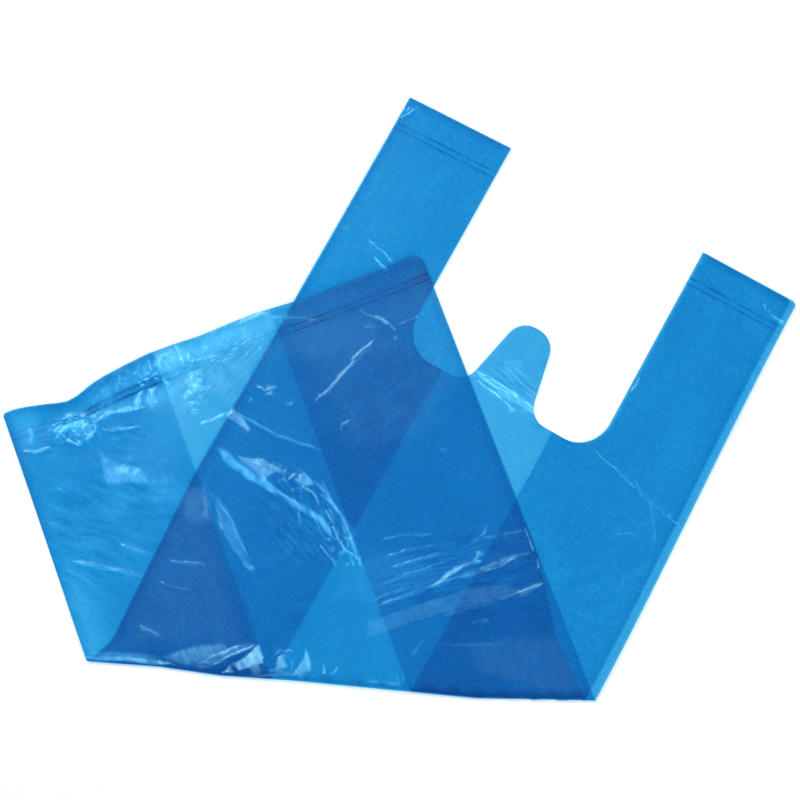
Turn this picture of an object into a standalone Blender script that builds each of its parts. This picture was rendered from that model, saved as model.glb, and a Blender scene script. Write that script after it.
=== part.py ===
"""A plastic carrier bag of blown film, lying flat with its lower part folded over the upper part.

The bag is one piece of film. A tube with a gusset in each side is welded shut across the bottom
and across the top of each handle. The mouth is cut out between the handles, and a short tab is
left standing in the middle of it. The bag is first made flat and straight, in its own
coordinates: u across the bag, v from the bottom up to the handles, w through the layers. It is
then folded once, along a line that climbs from its left edge to its right edge.

The film is drawn thicker than real film, and the layers further apart, so that each layer is a
solid wall. Metres, +Z up, the fold along +X, and the handles towards +Y.
"""

from math import atan2, cos, exp, hypot, pi, radians, sin, tan

import bmesh
import bpy
from mathutils import Vector

# The flat bag
BAG_WIDTH = 0.280
BAG_LENGTH = 0.574
GUSSET_DEPTH = 0.101
HANDLE_WIDTH = 0.070
HANDLE_LENGTH = 0.148
BACK_INSET = 0.006          # the back layers' outer folds lie this far inside the front layers'

# The film
FILM = 0.00035
LAYER_PITCH = 0.00075
BEND_STEPS = 2

# The tab in the mouth and the rounding of the cut
TAB_BASE_WIDTH = 0.046
TAB_TOP_WIDTH = 0.036
TAB_HEIGHT = 0.053
TAB_ROUND = 0.0165
MOUTH_ROUND = 0.022
TAB_FOOT_ROUND = 0.013
NOTCH_FLOOR = 0.002         # the least straight floor between a notch's two rounded corners
ARC_STEP = radians(15)

# The welds, each a fused band with two fine lines pressed into both of its faces
BOTTOM_WELD_HEIGHT = 0.0165
HANDLE_WELD_DROP = 0.020
WELD_LINE_SPACING = 0.0038
WELD_LINE_WIDTH = 0.0008
WELD_LINE_DEPTH = 0.00012

# The diagonal fold
FOLD_LEFT_HEIGHT = 0.167
FOLD_RIGHT_HEIGHT = 0.296
FOLD_CLEARANCE = 0.0005
FOLD_STEPS = 6
FOLD_BOW = 0.003            # the folded edge bulges this far at its middle
FOLD_BOW_FADE = 0.060

# Where the flap overhangs the upper part's left edge, it sinks down beside it
DRAPE_START = 0.002
DRAPE_REACH = 0.016
DRAPE_STEPS = 2

# The flap's creases run between two places, each a distance along the fold and one from it
CELL = 0.014
CREASE_FADE = 0.014         # creases die out this near the fold
RIDGES = (
    ((0.068, 0.135), (0.166, 0.068), 0.0030, 0.020),
    ((0.052, 0.120), (0.090, 0.064), 0.0022, 0.018),
    ((0.060, 0.012), (0.110, 0.022), 0.0018, 0.018),
    ((0.150, 0.045), (0.265, 0.075), 0.0014, 0.022),
)
PUCKER_FROM_SIDE = 0.038
PUCKER_DEPTH = 0.009
PUCKER_WIDTH = 0.014
PUCKER_FADE = 0.030

# Colour
FILM_COLOUR = (0.014, 0.270, 0.655, 1.0)
FILM_ROUGHNESS = 0.35

# Worked out from the sizes above
HALF_WIDTH = BAG_WIDTH / 2
STACK = 3 * LAYER_PITCH + FILM
BEND_RADIUS = LAYER_PITCH / 2
BEND_EDGE = FILM / 2 + BEND_RADIUS
MOUTH_HEIGHT = BAG_LENGTH - HANDLE_LENGTH
FOLD_SLOPE = atan2(FOLD_RIGHT_HEIGHT - FOLD_LEFT_HEIGHT, BAG_WIDTH)
FOLD_LENGTH = BAG_WIDTH / cos(FOLD_SLOPE)
FOLD_RADIUS = (STACK + FOLD_CLEARANCE) / 2
HALF_ARC = pi * FOLD_RADIUS / 2
ON_PLANE = 1e-5


def clear_scene():
    """Remove what the scene starts with."""
    for obj in list(bpy.data.objects):
        bpy.data.objects.remove(obj, do_unlink=True)


def new_collection(name):
    """Add a collection to the scene."""
    collection = bpy.data.collections.new(name)
    bpy.context.scene.collection.children.link(collection)
    return collection


def film_material():
    """Blue polythene film."""
    material = bpy.data.materials.new("blue_film")
    material.use_nodes = True
    shader = material.node_tree.nodes["Principled BSDF"]
    shader.inputs["Base Color"].default_value = FILM_COLOUR
    shader.inputs["Roughness"].default_value = FILM_ROUGHNESS
    shader.inputs["Metallic"].default_value = 0.0
    material.diffuse_color = FILM_COLOUR
    return material


def half_bend(centre_u, centre_w, start, turn):
    """Points of a half-round bend in the section, from the angle start through half a turn."""
    angles = [start + turn * pi * step / BEND_STEPS for step in range(BEND_STEPS + 1)]
    return [(centre_u + BEND_RADIUS * cos(a), centre_w + BEND_RADIUS * sin(a)) for a in angles]


def tube_section():
    """The closed section of the gusseted tube: front, right gusset, back, left gusset."""
    front_bend = HALF_WIDTH - BEND_EDGE
    back_bend = front_bend - BACK_INSET
    inner_bend = HALF_WIDTH - GUSSET_DEPTH + BEND_EDGE
    right = half_bend(front_bend, LAYER_PITCH, pi / 2, -1)
    right += half_bend(inner_bend, 0.0, pi / 2, 1)
    right += half_bend(back_bend, -LAYER_PITCH, pi / 2, -1)
    left = [(-u, w) for u, w in reversed(right)]
    return right + left


def curve_object(name, points, depth, filled, collection):
    """A closed flat outline, extruded to both sides by half its depth and turned into a mesh.

    The outline's first coordinate stays along X. The second lies along Y, and the depth along Z.
    """
    curve = bpy.data.curves.new(name, "CURVE")
    curve.dimensions = "2D"
    curve.fill_mode = "BOTH" if filled else "NONE"
    curve.extrude = depth / 2
    spline = curve.splines.new("POLY")
    spline.points.add(len(points) - 1)
    for point, (x, y) in zip(spline.points, points):
        point.co = (x, y, 0.0, 1.0)
    spline.use_cyclic_u = True
    drawn = bpy.data.objects.new(name + "_outline", curve)
    collection.objects.link(drawn)
    mesh = bpy.data.meshes.new_from_object(drawn.evaluated_get(bpy.context.evaluated_depsgraph_get()))
    bpy.data.objects.remove(drawn, do_unlink=True)
    rim = bmesh.new()
    rim.from_mesh(mesh)
    bmesh.ops.remove_doubles(rim, verts=rim.verts, dist=1e-6)
    bmesh.ops.recalc_face_normals(rim, faces=rim.faces)
    rim.to_mesh(mesh)
    rim.free()
    obj = bpy.data.objects.new(name, mesh)
    collection.objects.link(obj)
    return obj


def rounded(corners):
    """Points of a closed outline whose corners (u, v, radius) are rounded by arcs."""
    points = []
    for number, (u, v, radius) in enumerate(corners):
        corner = Vector((u, v))
        before = (Vector(corners[number - 1][:2]) - corner).normalized()
        after = (Vector(corners[(number + 1) % len(corners)][:2]) - corner).normalized()
        if not radius:
            points.append(tuple(corner))
            continue
        half = before.angle(after) / 2
        centre = corner + (before + after).normalized() * radius / sin(half)
        start = corner + before * radius / tan(half) - centre
        sweep = pi - 2 * half
        side = 1 if before.x * after.y - before.y * after.x < 0 else -1
        steps = max(2, round(sweep / ARC_STEP))
        for step in range(steps + 1):
            angle = side * sweep * step / steps
            turned = Vector((start.x * cos(angle) - start.y * sin(angle),
                             start.x * sin(angle) + start.y * cos(angle)))
            points.append(tuple(centre + turned))
    return points


def mouth_outline():
    """The piece cut out between the handles: two rounded notches either side of the tab."""
    edge = HALF_WIDTH - HANDLE_WIDTH
    above = BAG_LENGTH + HANDLE_WIDTH
    notch = edge - TAB_BASE_WIDTH / 2
    room = min(1.0, (notch - NOTCH_FLOOR) / (MOUTH_ROUND + TAB_FOOT_ROUND))
    half = [
        (TAB_TOP_WIDTH / 2, MOUTH_HEIGHT + TAB_HEIGHT, TAB_ROUND),
        (TAB_BASE_WIDTH / 2, MOUTH_HEIGHT, TAB_FOOT_ROUND * room),
        (edge, MOUTH_HEIGHT, MOUTH_ROUND * room),
        (edge, above, 0.0),
    ]
    return rounded(half + [(-u, v, radius) for u, v, radius in reversed(half)])


def make_film(collection):
    """The open tube of film, given its thickness."""
    film = curve_object("carrier_bag", tube_section(), BAG_LENGTH, False, collection)
    for vertex in film.data.vertices:
        u, w, along = vertex.co
        vertex.co = (u, BAG_LENGTH / 2 - along, w)
    wall = film.modifiers.new("film", "SOLIDIFY")
    wall.thickness = FILM
    wall.offset = 0.0
    wall.use_even_offset = True
    return film


def bar_across(name, sections, cutters):
    """Straight bars across the whole bag, each with a section (v, w, height, depth) of its own."""
    bars = bmesh.new()
    for v, w, height, depth in sections:
        made = bmesh.ops.create_cube(bars, size=1.0)
        bmesh.ops.scale(bars, verts=made["verts"], vec=(BAG_WIDTH - FILM, height, depth))
        bmesh.ops.translate(bars, verts=made["verts"], vec=(0.0, v, w))
    mesh = bpy.data.meshes.new(name)
    bars.to_mesh(mesh)
    bars.free()
    obj = bpy.data.objects.new(name, mesh)
    cutters.objects.link(obj)
    return obj


def weld(film, name, height, cutters):
    """Fuse the layers in a band across the bag, and press its two lines into both faces."""
    band = (height, 0.0, WELD_LINE_SPACING + WELD_LINE_WIDTH, STACK - FILM)
    cut_with(film, bar_across(name + "_band", [band], cutters), "UNION")
    lines = [
        (height + side * WELD_LINE_SPACING / 2, face * STACK / 2, WELD_LINE_WIDTH, 2 * WELD_LINE_DEPTH)
        for side in (-1, 1) for face in (-1, 1)
    ]
    cut_with(film, bar_across(name + "_lines", lines, cutters), "DIFFERENCE")


def cut_with(obj, tool, operation):
    """Join or cut with another solid, exactly."""
    boolean = obj.modifiers.new(tool.name, "BOOLEAN")
    boolean.operation = operation
    boolean.solver = "EXACT"
    boolean.object = tool
    tool.hide_render = True
    tool.display_type = "WIRE"


def flat_bag(bag_collection, cutters):
    """The whole bag, flat and straight: the tube, its welds and its cut mouth."""
    film = make_film(bag_collection)
    weld(film, "bottom_weld", BOTTOM_WELD_HEIGHT, cutters)
    weld(film, "handle_weld", BAG_LENGTH - HANDLE_WELD_DROP, cutters)
    mouth = curve_object("mouth", mouth_outline(), 4 * STACK, True, cutters)
    cut_with(film, mouth, "DIFFERENCE")
    bpy.context.view_layer.update()
    graph = bpy.context.evaluated_depsgraph_get()
    mesh = bpy.data.meshes.new_from_object(film.evaluated_get(graph))
    film.modifiers.clear()
    film.data = mesh
    return film


def evenly(start, end, spacing):
    """Numbers from start to end, both included, no further apart than the spacing."""
    count = max(1, round(abs(end - start) / spacing))
    return [start + (end - start) * number / count for number in range(count + 1)]


def from_fold(u, v):
    """Distance along the fold from its left end, and distance from the fold towards the handles."""
    across = u + HALF_WIDTH
    up = v - FOLD_LEFT_HEIGHT
    along = across * cos(FOLD_SLOPE) + up * sin(FOLD_SLOPE)
    away = up * cos(FOLD_SLOPE) - across * sin(FOLD_SLOPE)
    return along, away


def overhang(x, y):
    """How far a place on the flap lies beyond the left edge of the upper part under it."""
    return y * sin(FOLD_SLOPE) - x * cos(FOLD_SLOPE)


def flat_place(x, y):
    """Where a place on the flap lay in the flat bag."""
    away = -(y + HALF_ARC)
    u = x * cos(FOLD_SLOPE) - away * sin(FOLD_SLOPE) - HALF_WIDTH
    v = x * sin(FOLD_SLOPE) + away * cos(FOLD_SLOPE) + FOLD_LEFT_HEIGHT
    return Vector((u, v, 0.0))


def line_through(start, end):
    """A line on the flap through two places, as a point and a direction square to it."""
    first = flat_place(*start)
    run = flat_place(*end) - first
    return first, Vector((run.y, -run.x, 0.0)).normalized()


def flap_lines():
    """Where the flap sinks beside the upper part, and the crests of its creases."""
    lines = []
    for beyond in evenly(DRAPE_START, DRAPE_START + DRAPE_REACH, DRAPE_REACH / DRAPE_STEPS):
        x = -beyond / cos(FOLD_SLOPE)
        lines.append(line_through((x, 0.0), (x + tan(FOLD_SLOPE), 1.0)))
    return lines + [line_through(start, end) for start, end, height, reach in RIDGES]


def fold_lines():
    """Lines along the fold: through its turn, over the flap, and over the part that bows with it."""
    reach = hypot(BAG_WIDTH, BAG_LENGTH)
    away = evenly(-HALF_ARC, HALF_ARC, 2 * HALF_ARC / FOLD_STEPS)
    away += evenly(-HALF_ARC, -reach, CELL) + evenly(HALF_ARC, HALF_ARC + FOLD_BOW_FADE, CELL)
    on_fold = Vector((-HALF_WIDTH, FOLD_LEFT_HEIGHT, 0.0))
    up_from_fold = Vector((-sin(FOLD_SLOPE), cos(FOLD_SLOPE), 0.0))
    return [(on_fold + up_from_fold * distance, up_from_fold) for distance in sorted(set(away))]


def bag_lines():
    """Lines along the bag, evenly between its side folds."""
    outer = HALF_WIDTH - BEND_EDGE
    inner = HALF_WIDTH - GUSSET_DEPTH + BEND_EDGE
    across = evenly(-outer, -inner, CELL) + evenly(-inner, inner, CELL) + evenly(inner, outer, CELL)
    return [(Vector((u, 0.0, 0.0)), Vector((1.0, 0.0, 0.0))) for u in sorted(set(across))]


def score(mesh, lines, reach):
    """Cut the flat film along lines, in the faces up to a distance from the fold."""
    for point, normal in lines:
        faces = [face for face in mesh.faces
                 if all(from_fold(vert.co.x, vert.co.y)[1] < reach + ON_PLANE for vert in face.verts)]
        edges = {edge for face in faces for edge in face.edges}
        verts = {vert for face in faces for vert in face.verts}
        bmesh.ops.bisect_plane(mesh, geom=list(verts) + list(edges) + faces, dist=ON_PLANE,
                               plane_co=point, plane_no=normal)


def pucker(u, v):
    """The bottom edge draws in at one place near the bag's left side."""
    off = (u + HALF_WIDTH - PUCKER_FROM_SIDE) / PUCKER_WIDTH
    return v + PUCKER_DEPTH * exp(-off * off) * max(0.0, 1.0 - v / PUCKER_FADE)


def ridge_height(x, y):
    """How far the creases lift the flap at a place."""
    lift = 0.0
    for (x0, y0), (x1, y1), height, reach in RIDGES:
        length = hypot(x1 - x0, y1 - y0)
        along = ((x - x0) * (x1 - x0) + (y - y0) * (y1 - y0)) / length
        beside = ((x - x0) * (y1 - y0) - (y - y0) * (x1 - x0)) / length
        past = max(0.0, -along, along - length)
        lift = max(lift, height * max(0.0, 1.0 - hypot(beside, past) / reach))
    return lift * min(1.0, max(0.0, y / CREASE_FADE))


def drape(x, y):
    """How far the flap sinks at a place, down to the level of the layers beside it."""
    share = min(1.0, max(0.0, (overhang(x, y) - DRAPE_START) / DRAPE_REACH))
    return 2 * FOLD_RADIUS * share * share * (3 - 2 * share)


def folded_place(u, v, w):
    """Where a point of the flat bag lies once the bag is folded and creased."""
    x, away = from_fold(u, pucker(u, v))
    if away > HALF_ARC:
        y, z = away - HALF_ARC, w
    elif away < -HALF_ARC:
        y, z = -away - HALF_ARC, 2 * FOLD_RADIUS - w
        z += ridge_height(x, y) - drape(x, y)
    else:
        turn = away / FOLD_RADIUS
        y = -(FOLD_RADIUS - w) * cos(turn)
        z = FOLD_RADIUS - (FOLD_RADIUS - w) * sin(turn)
    middle = sin(pi * min(1.0, max(0.0, x / FOLD_LENGTH)))
    y -= FOLD_BOW * middle * max(0.0, 1.0 - max(0.0, y) / FOLD_BOW_FADE)
    return Vector((x, y, z))


def fold_bag(film):
    """Fold the flat bag and set it down with its box centred over the origin."""
    mesh = bmesh.new()
    mesh.from_mesh(film.data)
    bmesh.ops.remove_doubles(mesh, verts=mesh.verts[:], dist=1e-6)
    score(mesh, fold_lines(), BAG_LENGTH)
    score(mesh, bag_lines(), HALF_ARC + FOLD_BOW_FADE)
    score(mesh, flap_lines(), -HALF_ARC)
    bmesh.ops.triangulate(mesh, faces=mesh.faces[:], quad_method="SHORT_EDGE", ngon_method="BEAUTY")
    for vertex in mesh.verts:
        vertex.co = folded_place(*vertex.co)
    low = Vector([min(vertex.co[axis] for vertex in mesh.verts) for axis in range(3)])
    high = Vector([max(vertex.co[axis] for vertex in mesh.verts) for axis in range(3)])
    centre = Vector(((low.x + high.x) / 2, (low.y + high.y) / 2, low.z))
    bmesh.ops.translate(mesh, verts=mesh.verts[:], vec=-centre)
    mesh.to_mesh(film.data)
    mesh.free()
    film.data.shade_smooth()
    film.data.set_sharp_from_angle(angle=radians(40))


def main():
    clear_scene()
    bag_collection = new_collection("plastic_carrier_bag")
    cutters = new_collection("cutters")
    film = flat_bag(bag_collection, cutters)
    fold_bag(film)
    film.data.materials.clear()
    film.data.materials.append(film_material())


main()
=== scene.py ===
# %% [markdown]
# # A blue carrier bag of thin film
#
# The object is a shop's vest carrier: one tube of blown film, so thin that a single layer is
# almost clear. A gusset is folded into each side, the bottom and the tops of the handles are
# welded shut, and the mouth is cut out between the handles around a short tab. It lies flat on a
# white table, with its lower part folded over the upper part along a diagonal.
#
# Nearly all of its look comes from counting layers. Two layers are pale blue, four are a strong
# blue, and eight, where the flap lies on the bag, are dark. So the film is modelled with every
# layer in its place, and the depth of colour then comes by itself. On top of that come the
# creases, which catch the light as small white flashes, and painted highlights, white and cyan,
# added to the film's colour along them.

# %% Load the imported frame
from math import atan2, cos, pi, radians, sin, tan

import bmesh
import bpy
import numpy as np
from mathutils import Matrix, Vector


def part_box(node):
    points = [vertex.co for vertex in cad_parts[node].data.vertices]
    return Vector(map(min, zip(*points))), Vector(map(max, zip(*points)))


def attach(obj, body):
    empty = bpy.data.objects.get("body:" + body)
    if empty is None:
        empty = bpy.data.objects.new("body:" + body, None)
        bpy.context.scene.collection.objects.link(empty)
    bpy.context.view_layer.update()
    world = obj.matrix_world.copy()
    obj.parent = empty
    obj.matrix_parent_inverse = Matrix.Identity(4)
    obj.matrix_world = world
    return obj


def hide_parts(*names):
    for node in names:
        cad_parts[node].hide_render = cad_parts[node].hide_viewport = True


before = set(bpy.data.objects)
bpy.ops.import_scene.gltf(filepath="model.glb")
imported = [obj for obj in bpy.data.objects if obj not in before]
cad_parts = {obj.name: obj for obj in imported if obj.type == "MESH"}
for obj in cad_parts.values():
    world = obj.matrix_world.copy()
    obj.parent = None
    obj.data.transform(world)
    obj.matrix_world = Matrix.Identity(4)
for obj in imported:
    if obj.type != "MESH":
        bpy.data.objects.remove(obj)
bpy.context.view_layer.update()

# %% [markdown]
# ## The view
#
# The photograph looks almost straight down from about 1.2 m. A long lens from that height keeps
# the bag's edges nearly parallel, as they are in the photograph. The camera was fitted to the
# bag's eight corners. It leans a little, so that the handles are slightly farther away than the
# fold.

# %% Camera
CAMERA_PLACE = Vector((0.04124, -0.15733, 1.2))
CAMERA_PITCH = 0.12832
CAMERA_YAW = 0.26675
CAMERA_ROLL = -0.19437
FOCAL_PIXELS = 1933.4
PHOTO_SIZE = 800
SENSOR_WIDTH = 36.0

camera_data = bpy.data.cameras.new("camera")
camera_data.sensor_width = SENSOR_WIDTH
camera_data.lens = FOCAL_PIXELS * SENSOR_WIDTH / PHOTO_SIZE
camera = bpy.data.objects.new("camera", camera_data)
bpy.context.scene.collection.objects.link(camera)
turn = Matrix.Rotation(CAMERA_YAW, 4, "Z") @ Matrix.Rotation(CAMERA_PITCH, 4, "X")
camera.matrix_world = Matrix.Translation(CAMERA_PLACE) @ turn @ Matrix.Rotation(CAMERA_ROLL, 4, "Z")
bpy.context.scene.camera = camera
print("lens:", round(camera_data.lens, 1), "mm")


# %% A place in the photograph, found on the table
def from_photo(column, row, height=0.002):
    """Where the line of sight through a pixel of the photograph meets a height over the table."""
    middle = PHOTO_SIZE / 2
    sight = camera.matrix_world.to_3x3() @ Vector((column - middle, middle - row, -FOCAL_PIXELS))
    reach = (height - CAMERA_PLACE.z) / sight.z
    return CAMERA_PLACE + sight * reach


print("middle of the photograph:", [round(value, 3) for value in from_photo(400, 400)])

# %% [markdown]
# ## The flat bag
#
# Film is easiest to lay out flat, as the bag leaves the factory: u runs across it, v from the
# bottom to the handles, and w through its layers. Front, two plies of gusset, and back make four
# layers at the sides and two in the middle. The sizes are those of the solid part. The layers
# are closer together here, because nothing has to be solid.

# %% Sizes of the flat bag
BAG_WIDTH = 0.280
BAG_LENGTH = 0.574
GUSSET_DEPTH = 0.101
HANDLE_WIDTH = 0.070
HANDLE_LENGTH = 0.144
TAB_BASE_WIDTH = 0.046
TAB_TOP_WIDTH = 0.0245
TAB_HEIGHT = 0.0512
TAB_ROUND = 0.0137
TAB_LEAN = 0.0008
TAB_FOOT_ROUND = 0.013
MOUTH_ROUND = 0.022
FOLD_LEFT_HEIGHT = 0.167
FOLD_RIGHT_HEIGHT = 0.296
WELDS = (0.0165, 0.554)      # heights of the welds' middles
WELD_SPACING = 0.0038
WELD_LINE = 0.0016
WELD_REACH = 0.020
WELD_START = -0.080           # left of this the lower weld fades too
WELD_FAINT = (0.006, 0.030)  # middle and reach of the part where the lower weld hardly shows
LAYER_PITCH = 0.0004
FOLD_CLEARANCE = 0.0004

HALF_WIDTH = BAG_WIDTH / 2
INNER_FOLD = HALF_WIDTH - GUSSET_DEPTH
MOUTH_HEIGHT = BAG_LENGTH - HANDLE_LENGTH
ROUND_CORNERS = ((HALF_WIDTH, 0.0, 0.0070), (-HALF_WIDTH, 0.0, 0.0020), (HALF_WIDTH, BAG_LENGTH, 0.0028),
                 (-HALF_WIDTH, BAG_LENGTH, 0.0012))
STACK = 3 * LAYER_PITCH
FOLD_SLOPE = atan2(FOLD_RIGHT_HEIGHT - FOLD_LEFT_HEIGHT, BAG_WIDTH)
FOLD_RADIUS = (STACK + FOLD_CLEARANCE) / 2
HALF_ARC = pi * FOLD_RADIUS / 2
print("fold slope:", round(FOLD_SLOPE, 3), "radians; fold radius:", FOLD_RADIUS)

# %% How fine the mesh is, and how the film looks
CELL = 0.0065
FOLD_STRIPS = 4
FOLD_EDGE_WIDTH = 0.0006
COVER_MARGIN = 0.012
LOW_CLEARANCE = 0.0004
CREASE_SHARE = 0.62          # half of a crease's mark, as a share of the width that is read off
DRAPE_START = 0.002          # the flap starts to sink this far past the bag's side
DRAPE_REACH = 0.050
WAVES = ((0.00035, 0.034, 61), (0.00018, 0.013, 62))    # height, length and seed, in metres
LEAST_RISE = 0.0003
UNCOVERED_REACH = 0.008      # the bag's creases grow to their height this far from the flap
NEAR_FOLD_REACH = 0.006      # and the flap's this far from the fold
PIXEL = 0.00063              # a pixel of the photograph on the table, in metres
CREASE_STEEPNESS = 0.45
MOST_RISE = 0.0034
BOTTOM_FADE = 0.040
LEFT_STRETCH = ((0.030, 0.080, 0.120, 0.170), (0.0, 0.12, 0.30, 0.55))
STRETCH_WIDTH = 0.034
LEFT_INSETS = ((0.0, 0.016, 0.060, 0.120), (0.0, 0.007, 0.004, 0.0))
RIGHT_INSETS = ((0.196, 0.254, 0.300, 0.574), (0.0, 0.0085, 0.0055, 0.004))
FILM_TINT = (0.56, 0.880, 0.935)
BASE_LIGHT = (0.003, 0.004, 0.002)
# colours of the painted highlights added to the film along its creases: white glints and a cyan sheen
PAINTED_WHITE_GLINT = (0.40, 0.90, 0.92)
PAINTED_CYAN_SHEEN = (0.14, 0.75, 1.0)
MOST_LIGHT = 0.8
print("cells of", CELL, "m")

# %% [markdown]
# ## The tube of film
#
# A closed ring of points is drawn around the flattened tube: the front, in along one gusset and
# out again, the back, and the other gusset. Copies of the ring up the bag, joined by faces, make
# the film. Each layer is a single sheet of faces with no thickness, as film this thin needs none.

# %% Ring of points around the tube
def spread(start, end, spacing):
    """Numbers from start to end, both included, about a spacing apart."""
    count = max(1, round(abs(end - start) / spacing))
    return np.linspace(start, end, count + 1)


def tube_ring():
    """Points (u, w) of the closed section, starting at the front's left."""
    bend = LAYER_PITCH / 2
    outer, inner = HALF_WIDTH - bend, INNER_FOLD + bend
    legs = [
        # start, end, layer, then the u and the layer of the bend that follows
        (-outer, outer, 1.5, outer + bend, 1.0),
        (outer, inner, 0.5, inner - bend, 0.0),
        (inner, outer, -0.5, outer + bend, -1.0),
        (outer, -outer, -1.5, -outer - bend, -1.0),
        (-outer, -inner, -0.5, -inner + bend, 0.0),
        (-inner, -outer, 0.5, -outer - bend, 1.0),
    ]
    ring = []
    for start, end, layer, bend_u, bend_layer in legs:
        rows = spread(start, end, CELL)
        beside = np.sign(end - start) * FOLD_EDGE_WIDTH
        rows = np.concatenate([rows[:1], [start + beside], rows[1:-1], [end - beside], rows[-1:]])
        ring += [(u, layer * LAYER_PITCH) for u in rows]
        ring.append((bend_u, bend_layer * LAYER_PITCH))
    return ring


RING = tube_ring()
print("points round the tube:", len(RING))


# %% The tube as a mesh, still flat
def tube_mesh():
    """Copies the ring up the bag and joins the copies with faces."""
    rows = spread(0.0, BAG_LENGTH, CELL)
    count = len(RING)
    points = [(u, v, w) for v in rows for u, w in RING]
    faces = [(row * count + place, row * count + (place + 1) % count,
              (row + 1) * count + (place + 1) % count, (row + 1) * count + place)
             for row in range(len(rows) - 1) for place in range(count)]
    mesh = bpy.data.meshes.new("carrier_bag_film")
    mesh.from_pydata(points, [], faces)
    film = bmesh.new()
    film.from_mesh(mesh)
    return mesh, film


film_mesh, film = tube_mesh()
print("faces of the flat tube:", len(film.faces))

# %% [markdown]
# ## The mouth
#
# The mouth is one punched shape: two rounded notches with the tab between them. Its outline is
# drawn from its corners. Then every mesh edge that crosses the outline is split exactly there,
# the splits are joined, and the faces inside are deleted. A Boolean would want closed solids,
# and film is an open sheet. The bag's four outer corners are rounded a little in the same way.


# %% Outline of the cut
def rounded(corners, step=radians(10)):
    """Points of a closed outline whose corners (u, v, radius) are rounded by arcs."""
    points = []
    for number, (u, v, radius) in enumerate(corners):
        corner = Vector((u, v))
        before = (Vector(corners[number - 1][:2]) - corner).normalized()
        after = (Vector(corners[(number + 1) % len(corners)][:2]) - corner).normalized()
        half = before.angle(after) / 2
        centre = corner + (before + after).normalized() * radius / sin(half)
        start = corner + before * radius * cos(half) / sin(half) - centre
        side = 1 if before.cross(after) < 0 else -1
        count = max(1, round((pi - 2 * half) / step)) if radius else 0
        for part in range(count + 1):
            swing = Matrix.Rotation(side * (pi - 2 * half) * part / max(1, count), 2)
            points.append(tuple(centre + swing @ start))
    return points


def mouth_outline():
    """The piece cut out between the handles."""
    edge = HALF_WIDTH - HANDLE_WIDTH
    half = [
        (TAB_TOP_WIDTH / 2, MOUTH_HEIGHT + TAB_HEIGHT, TAB_ROUND),
        (TAB_BASE_WIDTH / 2, MOUTH_HEIGHT, TAB_FOOT_ROUND),
        (edge, MOUTH_HEIGHT, MOUTH_ROUND),
        (edge, BAG_LENGTH + HANDLE_WIDTH, 0.0),
    ]
    corners = half + [(-u, v, radius) for u, v, radius in reversed(half)]
    tab_top = MOUTH_HEIGHT + TAB_HEIGHT
    return np.array(rounded([(u + (TAB_LEAN if v == tab_top else 0), v, radius) for u, v, radius in corners]))


MOUTH = mouth_outline()
print("points on the mouth's outline:", len(MOUTH))


# %% Finer cells
def subdivide(mesh, wanted, cuts):
    """Cuts the edges whose both ends are wanted into shorter ones, and the faces between them."""
    edges = [edge for edge in mesh.edges if wanted[edge.verts[0].index] and wanted[edge.verts[1].index]]
    bmesh.ops.subdivide_edges(mesh, edges=edges, cuts=cuts, use_grid_fill=True)
    mesh.verts.index_update()


def flat_places(mesh):
    """The flat places (u, v, w) of all vertices."""
    mesh.verts.index_update()
    return np.array([vert.co[:] for vert in mesh.verts])


# %% Cut along an outline
def outline_gap(places, outline):
    """Distance to a closed outline, negative inside it, and the nearest place on it."""
    end = np.roll(outline, -1, axis=0)
    run = end - outline
    away = places[:, None] - outline
    share = np.clip((away * run).sum(2) / (run * run).sum(1), 0, 1)
    nearest = outline + share[..., None] * run
    gaps = np.linalg.norm(places[:, None] - nearest, axis=2)
    best = gaps.argmin(1)
    height = places[:, 1:2]
    crossed = (outline[:, 1] > height) != (end[:, 1] > height)
    safe = np.where(run[:, 1] == 0, 1, run[:, 1])
    meets = outline[:, 0] + (height - outline[:, 1]) * run[:, 0] / safe
    inside = (crossed & (places[:, :1] < meets)).sum(1) % 2 == 1
    rows = np.arange(len(places))
    return np.where(inside, -1, 1) * gaps[rows, best], nearest[rows, best]


def cut_out(mesh, outline):
    """Removes what lies inside the outline, in every layer, with the edge exactly on it."""
    places = np.array([vert.co.xy[:] for vert in mesh.verts])
    gaps, nearest = outline_gap(places, outline)
    gap_of = {}
    for vert, gap, spot in zip(mesh.verts, gaps, nearest):
        if abs(gap) < CELL / 16:
            vert.co.xy = spot
            gap = 0.0
        gap_of[vert] = gap
    crossing = [edge for edge in mesh.edges if gap_of[edge.verts[0]] * gap_of[edge.verts[1]] < 0]
    on_edge = [vert for vert in mesh.verts if gap_of[vert] == 0.0]
    for edge in crossing:
        first, last = edge.verts
        share = gap_of[first] / (gap_of[first] - gap_of[last])
        made = bmesh.utils.edge_split(edge, first, share)[1]
        gap_of[made] = 0.0
        on_edge.append(made)
    bmesh.ops.connect_verts(mesh, verts=on_edge)
    gone = [face for face in mesh.faces if sum(gap_of[vert] for vert in face.verts) < 0]
    bmesh.ops.delete(mesh, geom=gone, context="FACES")


def corner_piece(u, v, radius):
    """The piece cut off a corner of the flat bag to round it."""
    out_u, out_v = np.sign(u), np.sign(v - BAG_LENGTH / 2)
    turns = np.linspace(0, pi / 2, 9)
    arc = [(u + out_u * radius * (cos(turn) - 1), v + out_v * radius * (sin(turn) - 1)) for turn in turns]
    over = 0.001
    return np.array([(u + out_u * over, v - out_v * radius)] + arc
                    + [(u - out_u * radius, v + out_v * over), (u + out_u * over, v + out_v * over)])


for outline in [MOUTH] + [corner_piece(*corner) for corner in ROUND_CORNERS]:
    flat = flat_places(film)
    subdivide(film, np.abs(outline_gap(flat[:, :2], outline)[0]) < CELL, 2)
    cut_out(film, outline)
print("faces with the mouth cut:", len(film.faces))

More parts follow.
